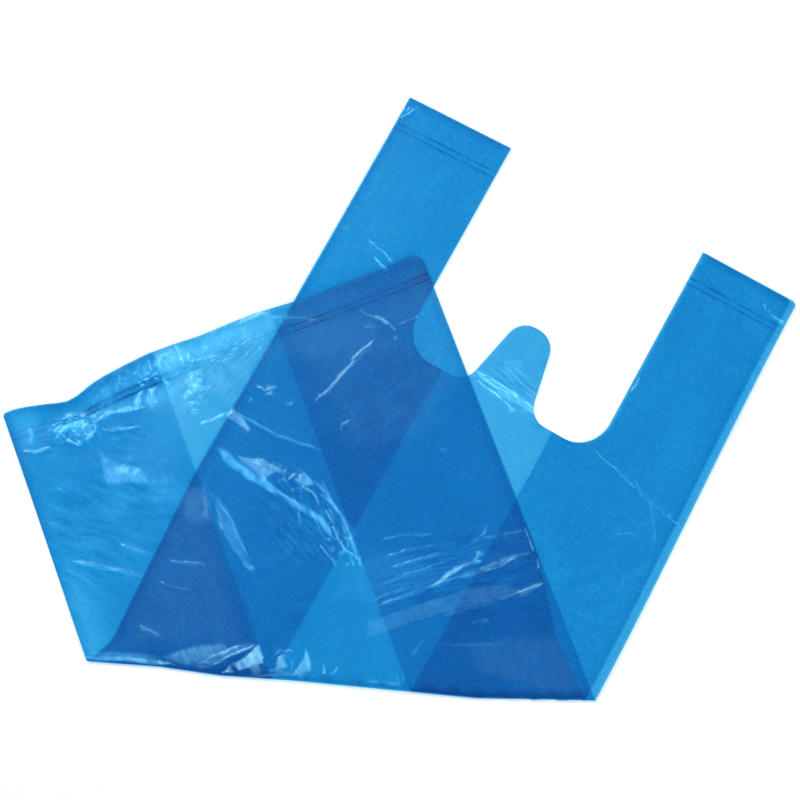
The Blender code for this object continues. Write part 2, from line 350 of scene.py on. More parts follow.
# %% [markdown]
# ## Lines to bend and to weld along
#
# The diagonal fold does not run along the grid, so the film is cut along it first, in a few
# narrow strips that will become its rounded turn. Each weld is a pair of straight pressed lines
# across the bag, so the film gets rows of vertices exactly on them too.


# %% Distances from the fold
def from_fold(u, v):
    """Distance along the fold from its left end, and distance from it towards the handles."""
    across, up = u + HALF_WIDTH, v - FOLD_LEFT_HEIGHT
    along = across * cos(FOLD_SLOPE) + up * sin(FOLD_SLOPE)
    return along, up * cos(FOLD_SLOPE) - across * sin(FOLD_SLOPE)


def flat_place(x, y):
    """Where a place on the flap, given along and from the fold, lies in the flat bag."""
    away = -y - HALF_ARC
    u = x * cos(FOLD_SLOPE) - away * sin(FOLD_SLOPE) - HALF_WIDTH
    return u, x * sin(FOLD_SLOPE) + away * cos(FOLD_SLOPE) + FOLD_LEFT_HEIGHT


def score(mesh, point, normal):
    """Cuts all the film along a line."""
    bmesh.ops.bisect_plane(mesh, geom=mesh.verts[:] + mesh.edges[:] + mesh.faces[:], dist=1e-5,
                           plane_co=point, plane_no=normal)


up_from_fold = Vector((-sin(FOLD_SLOPE), cos(FOLD_SLOPE), 0.0))
for distance in np.linspace(-HALF_ARC, HALF_ARC, FOLD_STRIPS + 1):
    score(film, Vector((-HALF_WIDTH, FOLD_LEFT_HEIGHT, 0.0)) + up_from_fold * distance, up_from_fold)
for weld in WELDS:
    for line in (-WELD_SPACING / 2, WELD_SPACING / 2):
        for side in (-WELD_LINE / 2, 0.0, WELD_LINE / 2):
            score(film, Vector((0.0, weld + line + side, 0.0)), Vector((0.0, 1.0, 0.0)))
print("faces with the fold's strips and the welds:", len(film.faces))

# %% [markdown]
# ## Finer film where it shows
#
# Creases are seen in the sheet that lies on top: the flap's back, and the front where the flap
# does not cover it. Only that sheet gets smaller cells. A second pass later makes them smaller
# again around each crease.

# %% Finer cells on top


def on_top(u, v, w):
    """Whether film is in the sheet that shows, on the flap or on the open part of the bag."""
    along, away = from_fold(u, v)
    under_u, under_v = flat_place(along, away - HALF_ARC)
    covered = (np.abs(under_u) < HALF_WIDTH - COVER_MARGIN) & (under_v > COVER_MARGIN)
    return np.where(away < 0, w < -LAYER_PITCH, (w > LAYER_PITCH) & ~covered)


subdivide(film, on_top(*flat_places(film).T), 1)
print("faces with finer film on top:", len(film.faces))

# %% [markdown]
# ## Noise for natural shapes
#
# Creases in film are never ruled lines. A smooth noise on a seeded grid of random numbers bends
# them a little and lets them fade and return. Being seeded, it is the same in each run.


# %% Seeded noise
LATTICE = 97                 # random numbers along each side of the grid, before it repeats


def smooth(share):
    """An even step from 0 to 1."""
    share = np.clip(share, 0, 1)
    return share ** 2 * (3 - 2 * share)


def noise(x, y, size, seed):
    """Values from -1 to 1 that vary smoothly over the given size."""
    lattice = np.random.default_rng(seed).uniform(-1, 1, (LATTICE, LATTICE))
    column, row = x / size, y / size
    left, low = np.floor(column).astype(int), np.floor(row).astype(int)
    right_share, top_share = smooth(column - left), smooth(row - low)
    left, right = left % LATTICE, (left + 1) % LATTICE
    low, high = low % LATTICE, (low + 1) % LATTICE
    bottom = lattice[low, left] * (1 - right_share) + lattice[low, right] * right_share
    top = lattice[high, left] * (1 - right_share) + lattice[high, right] * right_share
    return bottom * (1 - top_share) + top * top_share


def crumple(x, y, size, seed):
    """Broken facets with sharp ridges between them, from 0 to 1, as in crumpled film."""
    bent_x = x + size * 0.6 * noise(x, y, size * 1.7, seed + 1)
    bent_y = y + size * 0.6 * noise(x, y, size * 1.7, seed + 2)
    coarse = 1 - np.abs(noise(bent_x, bent_y, size, seed + 3)) * 1.6
    fine = 1 - np.abs(noise(bent_x, bent_y, size * 0.42, seed + 4)) * 1.6
    return np.clip(0.65 * coarse + 0.35 * fine, 0, 1)


print("noise at one place:", round(float(noise(np.array(0.1), np.array(0.2), 0.03, 1)), 3))

# %% [markdown]
# ## Where the creases are
#
# Each crease is a route, with the width of the mark that it leaves, how much white and how much
# cyan painted highlight it gets, how much darker the film is drawn along it, and how high it
# stands. Routes and widths are in pixels of the photograph, as that is where they were read.
# Facets are the flat pieces between creases that face the light: closed outlines with the same
# numbers.

# %% Creases of the flap
FLAP_CREASES = [
    # route, width, painted white highlight, painted cyan highlight, darkening, rise in millimetres
    # the long ridge, from the light triangle down to its braided end
    ([(219, 450), (231, 461), (246, 473), (262, 482), (272, 489), (282, 495)], 10, 0.03, 0.40, 0, 0.9),
    ([(282, 495), (295, 505), (308, 512), (320, 520), (333, 537)], 7, 0.05, 0.34, 0, 0.8),
    ([(264, 481), (280, 492), (300, 507)], 1.8, 0.16, 0.15, 0, 0.6),
    ([(231, 456), (250, 472), (272, 484), (283, 489), (290, 497)], 1.6, 0, 0, 0.7, 0),
    ([(312, 480), (326, 494), (340, 514), (351, 538), (359, 560)], 4.0, 0.08, 0.24, 0, 0.7),
    ([(320, 495), (330, 502), (338, 511)], 3, 0.14, 0.16, 0, 0.8),
    ([(302, 488), (312, 493), (316, 499), (318, 506)], 2.6, 0.20, 0.05, 0, 0.8),
    ([(325, 510), (330, 518), (334, 524)], 2.4, 0.22, 0.08, 0, 0.6),
    ([(329, 509), (334, 518)], 1.6, 0.16, 0.05, 0, 0.4),
    ([(333, 526), (339, 538), (346, 549)], 3, 0.12, 0.22, 0, 1.0),
    ([(341, 524), (347, 537), (350, 546)], 1.6, 0.10, 0.12, 0, 0.4),
    ([(320, 544), (327, 553), (333, 559), (336, 566)], 2.2, 0.14, 0.20, 0, 0.8),
    ([(343, 546), (352, 553), (359, 559)], 2.2, 0.16, 0.20, 0, 0.6),
    ([(352, 556), (355, 565)], 2.0, 0.18, 0.20, 0, 0.5),
    ([(360, 556), (361, 566)], 2.0, 0.12, 0.20, 0, 0.5),
    ([(308, 505), (318, 527), (327, 541)], 1.6, 0.06, 0.16, 0, 0.4),
    ([(298, 508), (300, 520), (299, 530)], 1.8, 0.04, 0.18, 0, 0.4),
    ([(284, 474), (288, 485)], 1.6, 0.16, 0.05, 0, 0.3),
    ([(293, 490), (295, 503)], 1.4, 0.08, 0.08, 0, 0.3),
    ([(299, 486), (301, 501)], 1.4, 0.08, 0.08, 0, 0.3),
    ([(321, 481), (331, 498)], 3, 0.02, 0.10, 0, 0.4),
    # the crease above it
    ([(235, 411), (246, 418), (262, 427), (277, 436), (295, 442), (310, 446), (322, 450)],
     3.4, 0.02, 0.20, 0, 1.2),
    ([(236, 416), (250, 426), (268, 436)], 1.6, 0, 0, 0.5, 0),
    # the narrow pleat to the left of the long ridge
    ([(205, 482), (211, 495), (218, 512), (224, 531), (232, 547), (242, 560), (250, 570)],
     1.8, 0.05, 0.05, 0, 0.8),
    ([(219, 501), (225, 511), (233, 524), (240, 541), (247, 557)], 2.0, 0.03, 0.20, 0, 0.9),
    ([(218, 521), (223, 531)], 1.8, 0.18, 0.05, 0, 0.2),
    ([(243, 563), (250, 569), (255, 567)], 5, 0.04, 0.14, 0, 0.6),
    ([(206, 484), (214, 508), (226, 540), (234, 552)], 1.4, 0, 0, 0.9, 0),
    ([(237, 570), (246, 600), (256, 632)], 2.0, 0, 0, 0.30, 0),
    # glints like small birds
    ([(257, 388), (262, 388), (265, 391), (271, 388), (277, 386)], 1.8, 0.36, 0.10, 0, 0.5),
    ([(265, 395), (269, 393), (273, 390)], 1.4, 0.34, 0.05, 0, 0.2),
    ([(249, 402), (252, 399)], 1.6, 0.26, 0.10, 0, 0.2),
    ([(287, 404), (291, 405), (295, 402)], 2.0, 0.12, 0.12, 0, 0.2),
    ([(246, 352), (249, 356)], 1.6, 0.26, 0, 0, 0.2),
    ([(259, 347), (263, 350)], 3, 0.16, 0, 0, 0.2),
    # weld corner, ticks and the white edge of the skirt
    ([(191, 402), (199, 404)], 1.3, 0.34, 0, 0, 0.3),
    ([(191, 406), (197, 407)], 1.1, 0.20, 0, 0, 0.3),
    ([(191, 410), (199, 410)], 1.3, 0.36, 0, 0, 0.3),
    ([(191, 413), (198, 414)], 1.3, 0.34, 0, 0, 0.3),
    ([(192, 417), (198, 418)], 1.1, 0.14, 0, 0, 0.2),
    ([(202, 424), (214, 420), (227, 414)], 2.0, 0.06, 0.16, 0, 0.5),
    ([(241, 323), (252, 318), (262, 314), (271, 315)], 3.2, 0.24, 0, 0, 0.8),
    ([(270, 318), (277, 318), (298, 319), (322, 320)], 1.3, 0.04, 0.16, 0, 0.4),
    ([(309, 321), (314, 320)], 1.8, 0.22, 0.05, 0, 0.2),
    # skirt
    ([(175, 346), (179, 354), (183, 363)], 2.6, 0.36, 0.05, 0, 0.6),
    ([(187, 352), (189, 360)], 2.0, 0.32, 0.05, 0, 0.4),
    ([(150, 361), (152, 371)], 1.5, 0.20, 0.10, 0, 0.3),
    ([(145, 366), (146, 376)], 1.5, 0.12, 0.12, 0, 0.3),
    ([(140, 372), (141, 380)], 1.4, 0.08, 0.12, 0, 0.3),
    ([(120, 374), (120, 384)], 1.4, 0.02, 0.16, 0, 0.3),
    ([(158, 354), (161, 368)], 3.0, 0.10, 0.05, 0, 0.4),
    ([(170, 349), (174, 366)], 1.6, 0.14, 0.05, 0, 0.3),
    ([(165, 360), (168, 370)], 1.6, 0.16, 0.05, 0, 0.3),
    ([(138, 383), (140, 387), (143, 385)], 2.0, 0.20, 0.12, 0, 0.3),
    ([(156, 378), (158, 380)], 2.2, 0.20, 0.12, 0, 0.3),
    ([(164, 381), (169, 386)], 3.2, 0.14, 0.12, 0, 0.3),
    ([(154, 401), (158, 402)], 2.2, 0.18, 0.10, 0, 0.3),
    ([(205, 345), (208, 353)], 2.0, 0.10, 0, 0, 0.2),
    # ring of crumpled film near the left corner
    ([(54, 434), (58, 428), (62, 424)], 2.6, 0.26, 0.10, 0, 0.8),
    ([(55, 439), (60, 434), (66, 438)], 2.6, 0.28, 0.10, 0, 0.8),
    ([(66, 440), (72, 442), (79, 446), (82, 443)], 2.2, 0.30, 0.10, 0, 0.8),
    ([(84, 441), (90, 436), (95, 430), (96, 423)], 2.2, 0.24, 0.14, 0, 0.8),
    ([(91, 419), (95, 415), (97, 420)], 2.4, 0.20, 0.14, 0, 0.6),
    ([(64, 424), (72, 418), (82, 419)], 2.2, 0.06, 0.16, 0, 0.8),
    ([(70, 422), (74, 432), (80, 438)], 1.8, 0.12, 0.12, 0, 0.5),
    ([(74, 422), (82, 428), (86, 434)], 1.6, 0.06, 0.12, 0, 0.4),
    ([(29, 429), (31, 437), (30, 446)], 5.0, 0.18, 0.06, 0, 0.9),
    ([(97, 421), (110, 414), (126, 412), (144, 408)], 1.8, 0.04, 0.18, 0, 0.7),
    ([(101, 429), (112, 432), (140, 427)], 1.4, 0, 0.08, 0, 0.4),
    ([(24, 452), (36, 453), (50, 447)], 2.0, 0, 0.12, 0, 0.5),
    ([(88, 413), (94, 406), (100, 398)], 3.0, 0, 0, 0.35, 0),
    # quiet creases on the left
    ([(72, 563), (95, 567), (122, 573), (145, 577)], 2.4, 0.01, 0.12, 0, 0.8),
    ([(121, 546), (140, 552), (152, 556)], 6.0, 0, 0.07, 0, 0.6),
    ([(58, 488), (64, 492)], 2.0, 0.02, 0.14, 0, 0.3),
    ([(140, 630), (150, 631), (157, 634), (164, 638)], 3.0, 0.05, 0.12, 0, 0.6),
    ([(160, 582), (178, 588), (192, 591)], 2.4, 0.02, 0.04, 0, 0.5),
    ([(170, 563), (190, 564), (208, 566)], 5.0, 0.01, 0.06, 0, 0.5),
    # fan of fine wrinkles
    ([(425, 590), (441, 582), (462, 577), (487, 569), (508, 559), (518, 555), (532, 552)],
     2.4, 0.06, 0.14, 0, 0.9),
    ([(498, 566), (510, 560), (519, 556)], 1.6, 0.10, 0.05, 0, 0.3),
    ([(424, 593), (442, 585), (462, 580), (488, 572), (509, 562), (530, 556)], 1.7, 0, 0, 0.55, 0),
    ([(380, 606), (400, 599), (425, 590)], 2.0, 0, 0.12, 0, 0.6),
    ([(380, 610), (402, 602), (432, 590), (462, 581)], 1.8, 0, 0, 0.4, 0),
    ([(440, 580), (448, 575), (457, 569), (469, 564), (481, 561)], 2.0, 0.12, 0.22, 0, 0.8),
    ([(441, 583), (458, 574), (481, 567)], 1.6, 0, 0, 0.45, 0),
    ([(386, 557), (412, 549), (441, 544)], 2.2, 0, 0.08, 0, 0.6),
    ([(388, 553), (414, 545), (436, 535)], 1.8, 0, 0, 0.2, 0),
    ([(390, 568), (420, 559), (451, 551)], 2.6, 0, 0.10, 0, 0.6),
    ([(392, 578), (424, 569), (452, 560)], 2.0, 0, 0.08, 0, 0.5),
    ([(390, 573), (420, 564), (450, 556)], 1.6, 0, 0, 0.28, 0),
    ([(419, 537), (434, 534)], 1.4, 0.02, 0.08, 0, 0.3),
    ([(482, 539), (503, 534), (525, 531)], 1.6, 0.02, 0.10, 0, 0.5),
    ([(470, 545), (484, 535), (489, 523)], 1.8, 0.02, 0.10, 0, 0.4),
    ([(476, 552), (477, 558), (474, 561), (481, 562)], 1.6, 0.26, 0.14, 0, 0.4),
    ([(517, 593), (530, 588), (543, 583)], 2.4, 0.42, 0.05, 0, 0.6),
    ([(482, 573), (500, 566), (516, 556)], 2.0, 0.20, 0.12, 0, 0.5),
    ([(416, 604), (440, 597), (461, 590)], 2.4, 0, 0, 0.8, 0),
    ([(440, 581), (452, 573), (463, 566)], 2.6, 0.22, 0.20, 0, 0.5),
    ([(450, 594), (480, 584), (510, 572), (532, 566)], 2.0, 0, 0, 0.45, 0),
    ([(370, 588), (400, 578), (428, 567)], 2.2, 0, 0.12, 0, 0.4),
    ([(372, 602), (395, 592), (410, 587)], 2.4, 0, 0.10, 0, 0.4),
    ([(378, 541), (402, 536), (430, 535)], 2.0, 0, 0.09, 0, 0.4),
    ([(374, 582), (396, 574), (416, 568)], 1.8, 0, 0, 0.5, 0),
    ([(500, 600), (512, 596), (521, 592)], 1.7, 0.08, 0.06, 0, 0.4),
    ([(442, 617), (470, 608), (500, 601)], 1.8, 0.01, 0.04, 0.0, 0.4),
    ([(380, 634), (415, 623), (445, 614), (478, 605), (503, 598)], 2.2, 0, 0, 0.35, 0),
    ([(472, 622), (487, 618)], 2.0, 0.04, 0.05, 0, 0.3),
    ([(440, 645), (470, 644), (500, 645)], 2.0, 0.03, 0.03, 0, 0.4),
    ([(411, 656), (418, 648), (424, 640)], 2.0, 0.02, 0.08, 0, 0.3),
    # the flap's right edge
    ([(523, 528), (528, 538), (533, 551)], 1.4, 0.18, 0.10, 0, 0),
    ([(537, 558), (539, 569)], 1.8, 0.42, 0.05, 0, 0),
    ([(430, 277), (435, 281)], 2.2, 0.40, 0.10, 0, 0.2),
    # below the weld at the top
    ([(361, 311), (371, 315), (379, 319)], 1.4, 0.10, 0.10, 0, 0.4),
    ([(377, 316), (384, 320), (391, 325)], 4.4, 0.26, 0.08, 0, 0.9),
    ([(391, 325), (396, 331)], 3.0, 0.22, 0.06, 0, 0.4),
    ([(395, 337), (397, 340)], 3.0, 0.12, 0.05, 0, 0.2),
    ([(365, 328), (377, 327)], 1.2, 0.05, 0.05, 0, 0.3),
    ([(400, 325), (412, 321), (423, 315)], 1.6, 0, 0, 0.45, 0.4),
    ([(372, 345), (358, 359), (344, 375), (328, 392), (315, 403)], 3.0, 0.035, 0.0, 0, 0.6),
    ([(352, 363), (362, 352), (376, 341)], 5.0, 0.02, 0.0, 0, 0.5),
    ([(340, 432), (342, 425), (349, 420)], 1.6, 0.10, 0.05, 0, 0.3),
    ([(345, 423), (351, 420)], 1.4, 0.10, 0.05, 0, 0.3),
    ([(440, 448), (445, 452)], 2.0, 0.14, 0.12, 0, 0.3),
    # along the diagonal fold
    ([(84, 657), (110, 658), (130, 659.5), (168, 663)], 5.0, 0.16, 0.30, 0, 0.1),
    ([(88, 653), (125, 655), (160, 658)], 6.0, 0.03, 0.12, 0, 0.1),
    ([(150, 659), (160, 661), (172, 663)], 3.0, 0.22, 0.20, 0, 0.5),
    ([(184, 664), (196, 659), (208, 653), (221, 646)], 2.4, 0, 0, 0.85, 0),
    ([(192, 666), (207, 659), (226, 651), (240, 646)], 2.6, 0.26, 0.08, 0, 0.6),
    ([(197, 668), (212, 660), (232, 652)], 1.2, 0, 0, 0.5, 0),
    ([(205, 668), (222, 660), (242, 651), (257, 646)], 2.0, 0.22, 0.10, 0, 0.5),
    ([(325, 664), (325, 676)], 2.0, 0.42, 0.05, 0, 0.5),
    ([(330, 676), (339, 667)], 1.8, 0.20, 0.08, 0, 0.3),
    ([(274, 657), (280, 650), (285, 653), (290, 650), (294, 654)], 1.6, 0.10, 0.16, 0, 0.4),
    ([(292, 672), (298, 662), (304, 653)], 1.8, 0, 0, 0.5, 0),
    ([(397, 675), (399, 683)], 1.6, 0.12, 0.06, 0, 0.3),
    ([(403, 672), (403, 684)], 1.4, 0.06, 0.08, 0, 0.3),
    ([(367, 681), (385, 683), (402, 684)], 4.0, 0.03, 0.10, 0, 0.5),
    ([(268, 671), (285, 673), (300, 676)], 2.6, 0.10, 0.0, 0, 0.3),
    ([(245, 675), (265, 675), (290, 675)], 2.0, 0.10, 0, 0.0, 0),
    ([(293, 662), (292, 672)], 1.4, 0.06, 0.12, 0, 0.3),
    ([(140, 626), (150, 631), (160, 638)], 4.0, 0.08, 0.10, 0, 0.6),
]

# %% Creases of the open part of the bag
BAG_CREASES = [
    # across the foot of the tab
    ([(472, 370), (488, 377), (504, 387), (520, 398), (538, 411)], 1.8, 0.60, 0.10, 0, 0.5),
    ([(474, 373), (492, 385), (511, 394), (528, 404)], 1.3, 0.36, 0.10, 0, 0.2),
    ([(468, 372), (480, 383), (496, 395), (509, 405), (517, 411)], 1.5, 0.55, 0.10, 0, 0.3),
    ([(480, 378), (494, 389), (507, 398)], 1.2, 0, 0, 0.8, 0),
    ([(505, 391), (512, 396)], 1.6, 0.18, 0.10, 0, 0.3),
    ([(526, 408), (537, 416)], 1.6, 0.14, 0.10, 0, 0.4),
    ([(498, 371), (506, 378), (515, 384)], 1.8, 0.02, 0.10, 0, 0.5),
    ([(504, 364), (512, 361), (521, 362), (523, 370)], 1.8, 0.01, 0.09, 0, 0.5),
    # across the right half
    ([(585, 442), (601, 456), (616, 470), (637, 491)], 1.3, 0.07, 0.22, 0, 0.7),
    ([(637, 491), (662, 513), (680, 528)], 1.2, 0.04, 0.16, 0, 0.5),
    ([(636, 480), (637, 487), (641, 494)], 1.6, 0.04, 0.16, 0, 0.3),
    ([(648, 500), (653, 517), (656, 533), (652, 546)], 1.5, 0.01, 0.14, 0, 0.4),
    ([(613, 536), (632, 533)], 1.3, 0.05, 0.12, 0, 0.3),
    ([(588, 444), (604, 459), (618, 474)], 1.6, 0, 0, 0.25, 0),
    ([(622, 572), (621, 590)], 1.4, 0.01, 0.08, 0, 0.3),
    ([(640, 377), (636, 385), (630, 392)], 1.8, 0.0, 0.06, 0, 0.3),
    # handles
    ([(369, 240), (383, 251), (394, 262)], 1.6, 0.20, 0.24, 0, 0.6),
    ([(374, 257), (381, 264), (388, 267)], 1.7, 0.26, 0.24, 0, 0.6),
    ([(371, 245), (384, 256)], 1.4, 0.0, 0.06, 0, 0.3),
    ([(401, 117), (409, 112), (418, 106)], 1.8, 0.10, 0.22, 0, 0.5),
    ([(399, 114), (407, 110), (413, 104)], 2.4, 0.0, 0.12, 0, 0.4),
    ([(344, 229), (350, 228)], 1.8, 0.06, 0.10, 0, 0.2),
    ([(765, 304), (766, 310)], 1.4, 0.20, 0.08, 0, 0.3),
    ([(771, 314), (776, 317), (783, 321)], 1.8, 0.24, 0.10, 0, 0.5),
    ([(779, 322), (783, 320), (784, 324)], 1.6, 0.24, 0.10, 0, 0.3),
    ([(769, 312), (772, 309)], 1.4, 0.12, 0.08, 0, 0.3),
    ([(438, 183), (439, 185)], 2.4, 0, 0, 1.2, 0),
    ([(570, 626), (570, 632)], 2.0, 0, 0, 0.8, 0),
]

# %% Facets of the flap
FLAP_FACETS = [
    # outline, soft edge, painted white highlight, painted cyan highlight, darkening, slope of its rise
    ([(237, 456), (251, 459), (264, 459), (270, 464), (280, 467), (281, 471), (272, 474), (266, 481),
      (256, 472), (244, 463)], 1.6, 0.24, 0.06, 0, 0.30),
    ([(295, 480), (304, 473), (309, 477), (313, 485), (302, 486)], 1.4, 0.22, 0.14, 0, 0.30),
    ([(216, 495), (226, 507), (240, 535), (247, 556), (252, 567), (241, 560), (230, 547), (218, 524)],
     2.5, 0.02, 0.13, 0, 0.12),
    ([(187, 490), (205, 488), (209, 501), (211, 519), (196, 521), (184, 516)], 5, 0.06, 0.02, 0, 0.05),
    ([(205, 495), (207, 503), (210, 518), (203, 517)], 1.6, 0.07, 0.03, 0, 0.10),
    ([(186, 380), (191, 372), (197, 373), (199, 382), (210, 389), (197, 392), (189, 389)],
     1.6, 0.17, 0.03, 0, 0.30),
    ([(232, 408), (242, 417), (251, 430), (249, 432), (235, 421), (226, 416)], 1.5, 0.28, 0.04, 0, 0.35),
    ([(137, 394), (142, 391), (139, 408), (134, 410), (133, 403)], 1.8, 0.26, 0.06, 0, 0.35),
    ([(148, 390), (156, 388), (158, 399), (153, 408), (147, 402)], 3, 0.15, 0.05, 0, 0.25),
    ([(158, 352), (172, 346), (186, 345), (188, 364), (168, 372), (158, 366)], 5, 0.09, 0.02, 0, 0.10),
    ([(100, 451), (112, 461), (142, 470), (149, 484), (107, 483), (103, 470)], 1.6, 0.08, 0.05, 0, 0.05),
    ([(104, 470), (125, 466), (142, 470), (148, 482), (110, 482)], 2.4, 0.06, 0.05, 0, 0.04),
    ([(100, 450), (112, 461), (104, 466)], 2, 0.05, 0.0, 0, 0.10),
    ([(146, 476), (166, 478), (186, 488), (180, 505), (155, 500)], 9, 0.005, 0.10, 0, 0.02),
    ([(68, 420), (82, 418), (94, 430), (84, 440), (70, 436)], 4, 0.05, 0.14, 0, 0.12),
    ([(50, 399), (78, 396), (84, 402), (70, 412), (50, 413)], 6, 0, 0, 0.30, 0.02),
    ([(96, 420), (120, 412), (146, 408), (176, 400), (176, 386), (140, 398), (112, 404), (98, 412)],
     6, 0.01, 0.10, 0, 0.02),
    ([(8, 413), (30, 410), (40, 425), (34, 452), (22, 448)], 6, 0.01, 0.10, 0, 0.03),
    # fold
    ([(222, 673), (245, 657), (259, 645), (263, 658), (262, 664), (250, 667), (235, 671)],
     0.9, 0.46, 0.08, 0, 0.20),
    ([(207, 668), (222, 662), (240, 652), (257, 646), (245, 656), (228, 667), (221, 672)],
     0.9, 0, 0, 0.75, 0.06),
    ([(262, 664), (258, 669), (242, 673), (230, 673)], 1.0, 0, 0, 0.5, 0.0),
    ([(165, 656), (188, 648), (220, 643), (227, 646), (222, 651), (200, 660), (188, 664), (175, 662)],
     2.0, 0.12, 0.08, 0, 0.06),
    ([(236, 645), (256, 645), (240, 652), (224, 659), (205, 668), (196, 667)], 2.0, 0.10, 0.06, 0, 0.06),
    ([(276, 668), (278, 657), (284, 655), (287, 668), (270, 671)], 1.0, 0.24, 0.04, 0, 0.25),
    ([(294, 674), (302, 661), (307, 650), (309, 660), (310, 672)], 0.9, 0.26, 0.12, 0, 0.25),
    # fan
    ([(368, 622), (416, 606), (450, 596), (476, 587), (500, 586), (520, 590), (541, 584), (500, 599),
      (469, 606), (439, 615), (376, 634), (366, 636)], 1.2, 0.045, 0.03, 0, 0.0),
    ([(470, 645), (500, 640), (560, 638), (583, 690), (540, 688), (480, 670)], 6.0, 0.03, 0.0, 0, 0.01),
    ([(440, 598), (470, 590), (520, 594), (555, 600), (556, 636), (500, 641), (450, 642), (430, 622)],
     8.0, 0, 0, 0.18, 0.0),
    ([(360, 560), (388, 552), (420, 560), (440, 575), (420, 590), (372, 600), (345, 590)],
     9.0, 0.0, 0.05, 0, 0.02),
    ([(300, 322), (330, 318), (372, 322), (392, 345), (360, 356), (300, 362)], 12.0, 0.012, 0.01, 0, 0.01),
    # broad painted sheen
    ([(290, 300), (425, 262), (455, 320), (462, 368), (420, 440), (350, 440), (300, 350)],
     14.0, 0.022, 0.0, 0, 0.0),
    ([(150, 570), (190, 500), (215, 545), (240, 640), (130, 645)], 14.0, 0.028, 0.0, 0, 0.0),
    ([(85, 400), (130, 370), (215, 335), (290, 308), (290, 322), (215, 352), (140, 383), (95, 408)],
     4.0, 0.02, 0.07, 0, 0.0),
]
BAG_FACETS = [
    ([(474, 372), (490, 378), (538, 412), (530, 411), (500, 396)], 1.6, 0.10, 0.08, 0, 0.15),
    ([(501, 368), (514, 360), (522, 366), (520, 378), (510, 378)], 2.5, 0.01, 0.05, 0, 0.10),
    ([(515, 402), (535, 400), (537, 412), (528, 406)], 3.0, 0.05, 0.02, 0, 0.05),
    ([(350, 182), (398, 150), (440, 170), (400, 240), (350, 250)], 22.0, 0.004, 0.01, 0, 0.0),
]
CRUMPLED = [
    # middle, reach along and across, slope in degrees, height in millimetres, size of a facet, painted white
    # highlight, painted cyan highlight
    ((76, 430), 34, 20, 12, 1.6, 0.0070, 0.16, 0.12),
    ((150, 372), 70, 17, 22, 0.9, 0.0060, 0.05, 0.06),
    ((195, 390), 20, 26, 0, 0.8, 0.0036, 0.09, 0.03),
    ((228, 352), 62, 30, 22, 0.25, 0.0034, 0.045, 0.03),
    ((150, 480), 60, 34, -14, 0.25, 0.0060, 0.02, 0.03),
    ((290, 478), 34, 16, -30, 1.0, 0.0050, 0.12, 0.08),
    ((340, 545), 44, 16, -60, 1.2, 0.0055, 0.10, 0.16),
    ((250, 662), 70, 12, -4, 0.8, 0.0070, 0.04, 0.03),
    ((122, 470), 46, 24, -18, 0.5, 0.0110, 0.02, 0.03),
    ((300, 560), 60, 40, -60, 0.4, 0.0130, 0.004, 0.03),
]
print("creases:", len(FLAP_CREASES) + len(BAG_CREASES), "facets:", len(FLAP_FACETS) + len(BAG_FACETS))

# %% [markdown]
# ## How a crease marks the film
#
# A crease does three things to the sheet on top. It lifts it, so that its sides face the lamps.
# It gets painted highlights, white and cyan, added to the film's colour. And the film is counted
# thicker along it, which draws it darker. So every vertex gets four numbers: white, cyan,
# darkening and rise.


# %% Marks of creases, facets and crumpled patches
def to_frame(pixels):
    """Places in the photograph as places on the table."""
    return np.array([from_photo(column, row).xy[:] for column, row in pixels])


def wandering(x, y):
    """The same places, moved by up to a millimetre, so that no crease is ruled."""
    bent_x = x + 0.0007 * noise(x, y, 0.011, 31) + 0.0003 * noise(x, y, 0.0035, 32)
    bent_y = y + 0.0007 * noise(x, y, 0.011, 33) + 0.0003 * noise(x, y, 0.0035, 34)
    return bent_x, bent_y


def near(x, y, points, reach):
    """Numbers of the places within reach of the box round some points."""
    low, high = points.min(0) - reach, points.max(0) + reach
    return np.flatnonzero((x > low[0]) & (x < high[0]) & (y > low[1]) & (y < high[1]))


def outline_distance(x, y, points):
    """Distance to a route."""
    best = np.full(len(x), 1.0)
    for (x0, y0), (x1, y1) in zip(points[:-1], points[1:]):
        held = ((x - x0) * (x1 - x0) + (y - y0) * (y1 - y0)) / ((x1 - x0) ** 2 + (y1 - y0) ** 2)
        held = np.clip(held, 0, 1)
        best = np.minimum(best, np.hypot(x - x0 - held * (x1 - x0), y - y0 - held * (y1 - y0)))
    return best


def oval_distance(x, y, middle, reach, angle):
    """0 in the middle of an oval and 1 on its edge; middle and reach are in pixels."""
    (mx, my), = to_frame([middle])
    turn = radians(angle)
    return np.hypot(((x - mx) * cos(turn) + (y - my) * sin(turn)) / (reach[0] * PIXEL),
                    ((y - my) * cos(turn) - (x - mx) * sin(turn)) / (reach[1] * PIXEL))


def crease_share(x, y, points, reach):
    """From 1 on a route to 0 at its reach, thinner and fainter towards its ends."""
    best = np.zeros_like(x)
    lengths = np.linalg.norm(np.diff(points, axis=0), axis=1)
    total, gone = lengths.sum(), 0.0
    for (x0, y0), (x1, y1), length in zip(points[:-1], points[1:], lengths):
        held = np.clip(((x - x0) * (x1 - x0) + (y - y0) * (y1 - y0)) / length ** 2, 0, 1)
        beside = np.hypot(x - x0 - held * (x1 - x0), y - y0 - held * (y1 - y0))
        passed = (gone + held * length) / total
        taper = np.clip(5 * np.minimum(passed, 1 - passed) + 0.3, 0, 1)
        best = np.maximum(best, np.clip(1 - beside / (reach * (0.5 + 0.5 * taper)), 0, 1) * taper)
        gone += length
    return best


